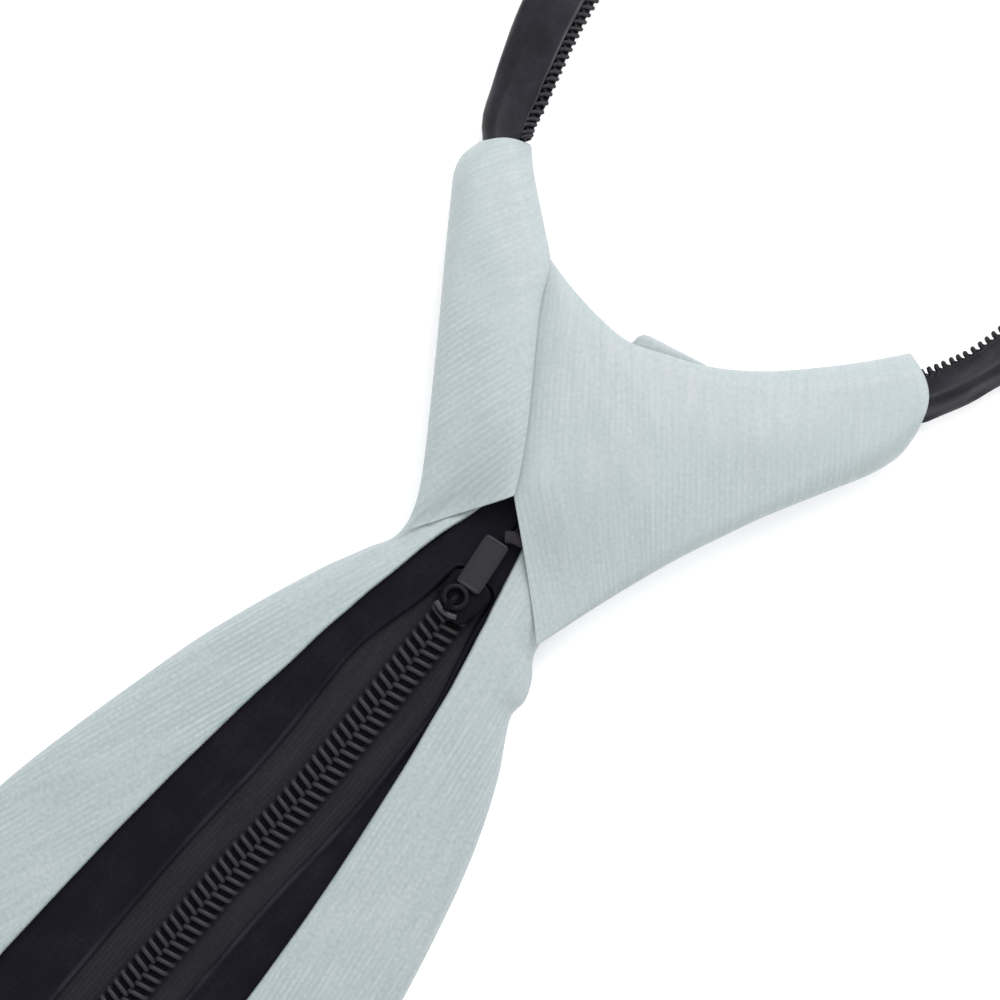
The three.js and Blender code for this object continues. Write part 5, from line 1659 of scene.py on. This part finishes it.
def tab_solids():
    """Flat plate, a raised rim round it, and a ring that goes round the bridge."""
    half, end = TAB_WIDTH / 2, TAB_START + TAB_LENGTH
    outline = round_corners([(-half, TAB_START - 0.3), (half, TAB_START - 0.3), (half, end),
                             (-half, end)], 0.7)
    rim_path = outline_inward(outline, RIM_IN)
    rim = np.column_stack([rim_path, np.full(len(rim_path), TAB_THICKNESS / 2)])
    turn = np.linspace(0, 2 * np.pi, 48, endpoint=False)
    ring = np.column_stack([RING_HALF_WIDTH * np.cos(turn) + RING_X,
                            RING_HALF_LENGTH * np.sin(turn) + RING_Y,
                            np.full(48, TAB_THICKNESS / 2)])
    outward_rim = np.column_stack([unit(rim_path - rim_path.mean(axis=0)), np.zeros(len(rim_path))])
    outward_ring = np.column_stack([np.cos(turn), np.sin(turn), np.zeros(48)])
    plate = [pillow(outline, PLATE_SUNK, TAB_THICKNESS - PLATE_SUNK, 0.2),
             bar_along(rim, RIM_HALF, TAB_THICKNESS / 2, outward_rim, closed=True)]
    loop = [bar_along(ring, RING_BAR_HALF, TAB_THICKNESS / 2, outward_ring, closed=True)]
    return [[moved(solid, TAB_X, TAB_Y, TAB_LOW, TAB_TURN) for solid in solids]
            for solids in (plate, loop)]


tab_plate, tab_ring = tab_solids()
add_piece("pull_tab_plate", tab_plate, TAB_METAL, ["pull_tab"])
add_piece("pull_tab_ring", tab_ring, RING_METAL)

# %% [markdown]
# ## Tape that holds the pull
# A narrow woven tape ties the tab's ring to the knot, so the pull can't be lost. It is cloth,
# but so narrow and firm that it only bends flat, and a bar along a curve is all it needs.

# %% Tape that holds the pull
HOLDER = table("x y", [[2.3, -5.0], [3.4, -4.25], [5.4, -3.7], [8.6, -2.4]])
HOLDER_HALF_WIDTH = 0.93
HOLDER_HALF_HEIGHT = 0.33


def holder_solid():
    """Narrow woven tape along its route, with rounded edges and a slight wave in its height."""
    position = np.linspace(0, 3, 25)
    x, y = through(HOLDER, "x", position), through(HOLDER, "y", position)
    path = np.column_stack([x, y, TAB_LOW + 0.45 + 0.05 * np.sin(position * 2)])
    along = unit(np.gradient(path, axis=0))
    side = np.column_stack([-along[:, 1], along[:, 0], np.zeros(len(path))])
    points, quads, triangles, _ = bar_along(path, HOLDER_HALF_WIDTH, HOLDER_HALF_HEIGHT, side,
                                            sides=14)
    return points, quads, triangles, points[:, :2]


add_piece("pull_tape_weave", [holder_solid()], HOLDER_TAPE, ["pull_tape"])

# %% [markdown]
# ## Light and floor
# The floor is plain and nearly white, and glows a little as a light table does, so shadows
# stay faint. One large soft light stands near, past the top of the picture: the cloth is
# brightest there and falls off slowly. An even sky fills the rest. A picture of a real studio
# could light the tie too, but one lamp and a sky are easier to set and to understand.

# %% Floor
FLOOR_GLOW = 0.25


def floor_material():
    """Nearly white, with a faint glow and hardly any shine."""
    material, tree, shader = material_with("pale_floor", 0.9, 0.2)
    shade = noise(tree, object_coordinates(tree), 3.0)
    tree.links.new(blend_colours(tree, shade, linear(250, 250, 250), linear(252, 252, 253)),
                   shader.inputs["Base Color"])
    shader.inputs["Emission Color"].default_value = (1.0, 1.0, 1.0, 1.0)
    shader.inputs["Emission Strength"].default_value = FLOOR_GLOW
    return material


def add_floor():
    """One square under the whole tie, wider than any view of it."""
    reach = 3.0
    mesh = bpy.data.meshes.new("floor")
    mesh.from_pydata([(-reach, -reach, 0), (reach, -reach, 0), (reach, reach, 0),
                      (-reach, reach, 0)], [], [(0, 1, 2, 3)])
    mesh.materials.append(floor_material())
    floor = bpy.data.objects.new("floor", mesh)
    bpy.context.scene.collection.objects.link(floor)


add_floor()

# %% Lights
VIEW_RIGHT = np.array([math.cos(VIEW_TURN), math.sin(VIEW_TURN), 0.0])
VIEW_UP = np.array([-math.sin(VIEW_TURN), math.cos(VIEW_TURN), 0.0])
KEY_WAY = VIEW_UP * 0.65 + VIEW_RIGHT * 0.30 + UP
SKY_STRENGTH = 0.90


def add_soft_light(name, way, distance, size, power):
    """Square area light at a distance from the knot, facing it."""
    light = bpy.data.objects.new(name, bpy.data.lights.new(name, "AREA"))
    light.data.size = size
    light.data.energy = power
    place = np.array(way) / np.linalg.norm(way) * distance
    light.location = place
    towards = Vector((-place).tolist())
    light.rotation_euler = towards.to_track_quat("-Z", "Y").to_euler()
    bpy.context.scene.collection.objects.link(light)


add_soft_light("key_light", KEY_WAY, distance=0.55, size=0.36, power=2.1)
world = bpy.data.worlds.new("studio")
world.use_nodes = True
world.node_tree.nodes["Background"].inputs["Color"].default_value = (1.0, 1.0, 1.0, 1.0)
world.node_tree.nodes["Background"].inputs["Strength"].default_value = SKY_STRENGTH
bpy.context.scene.world = world
bpy.context.scene.view_settings.view_transform = "Standard"
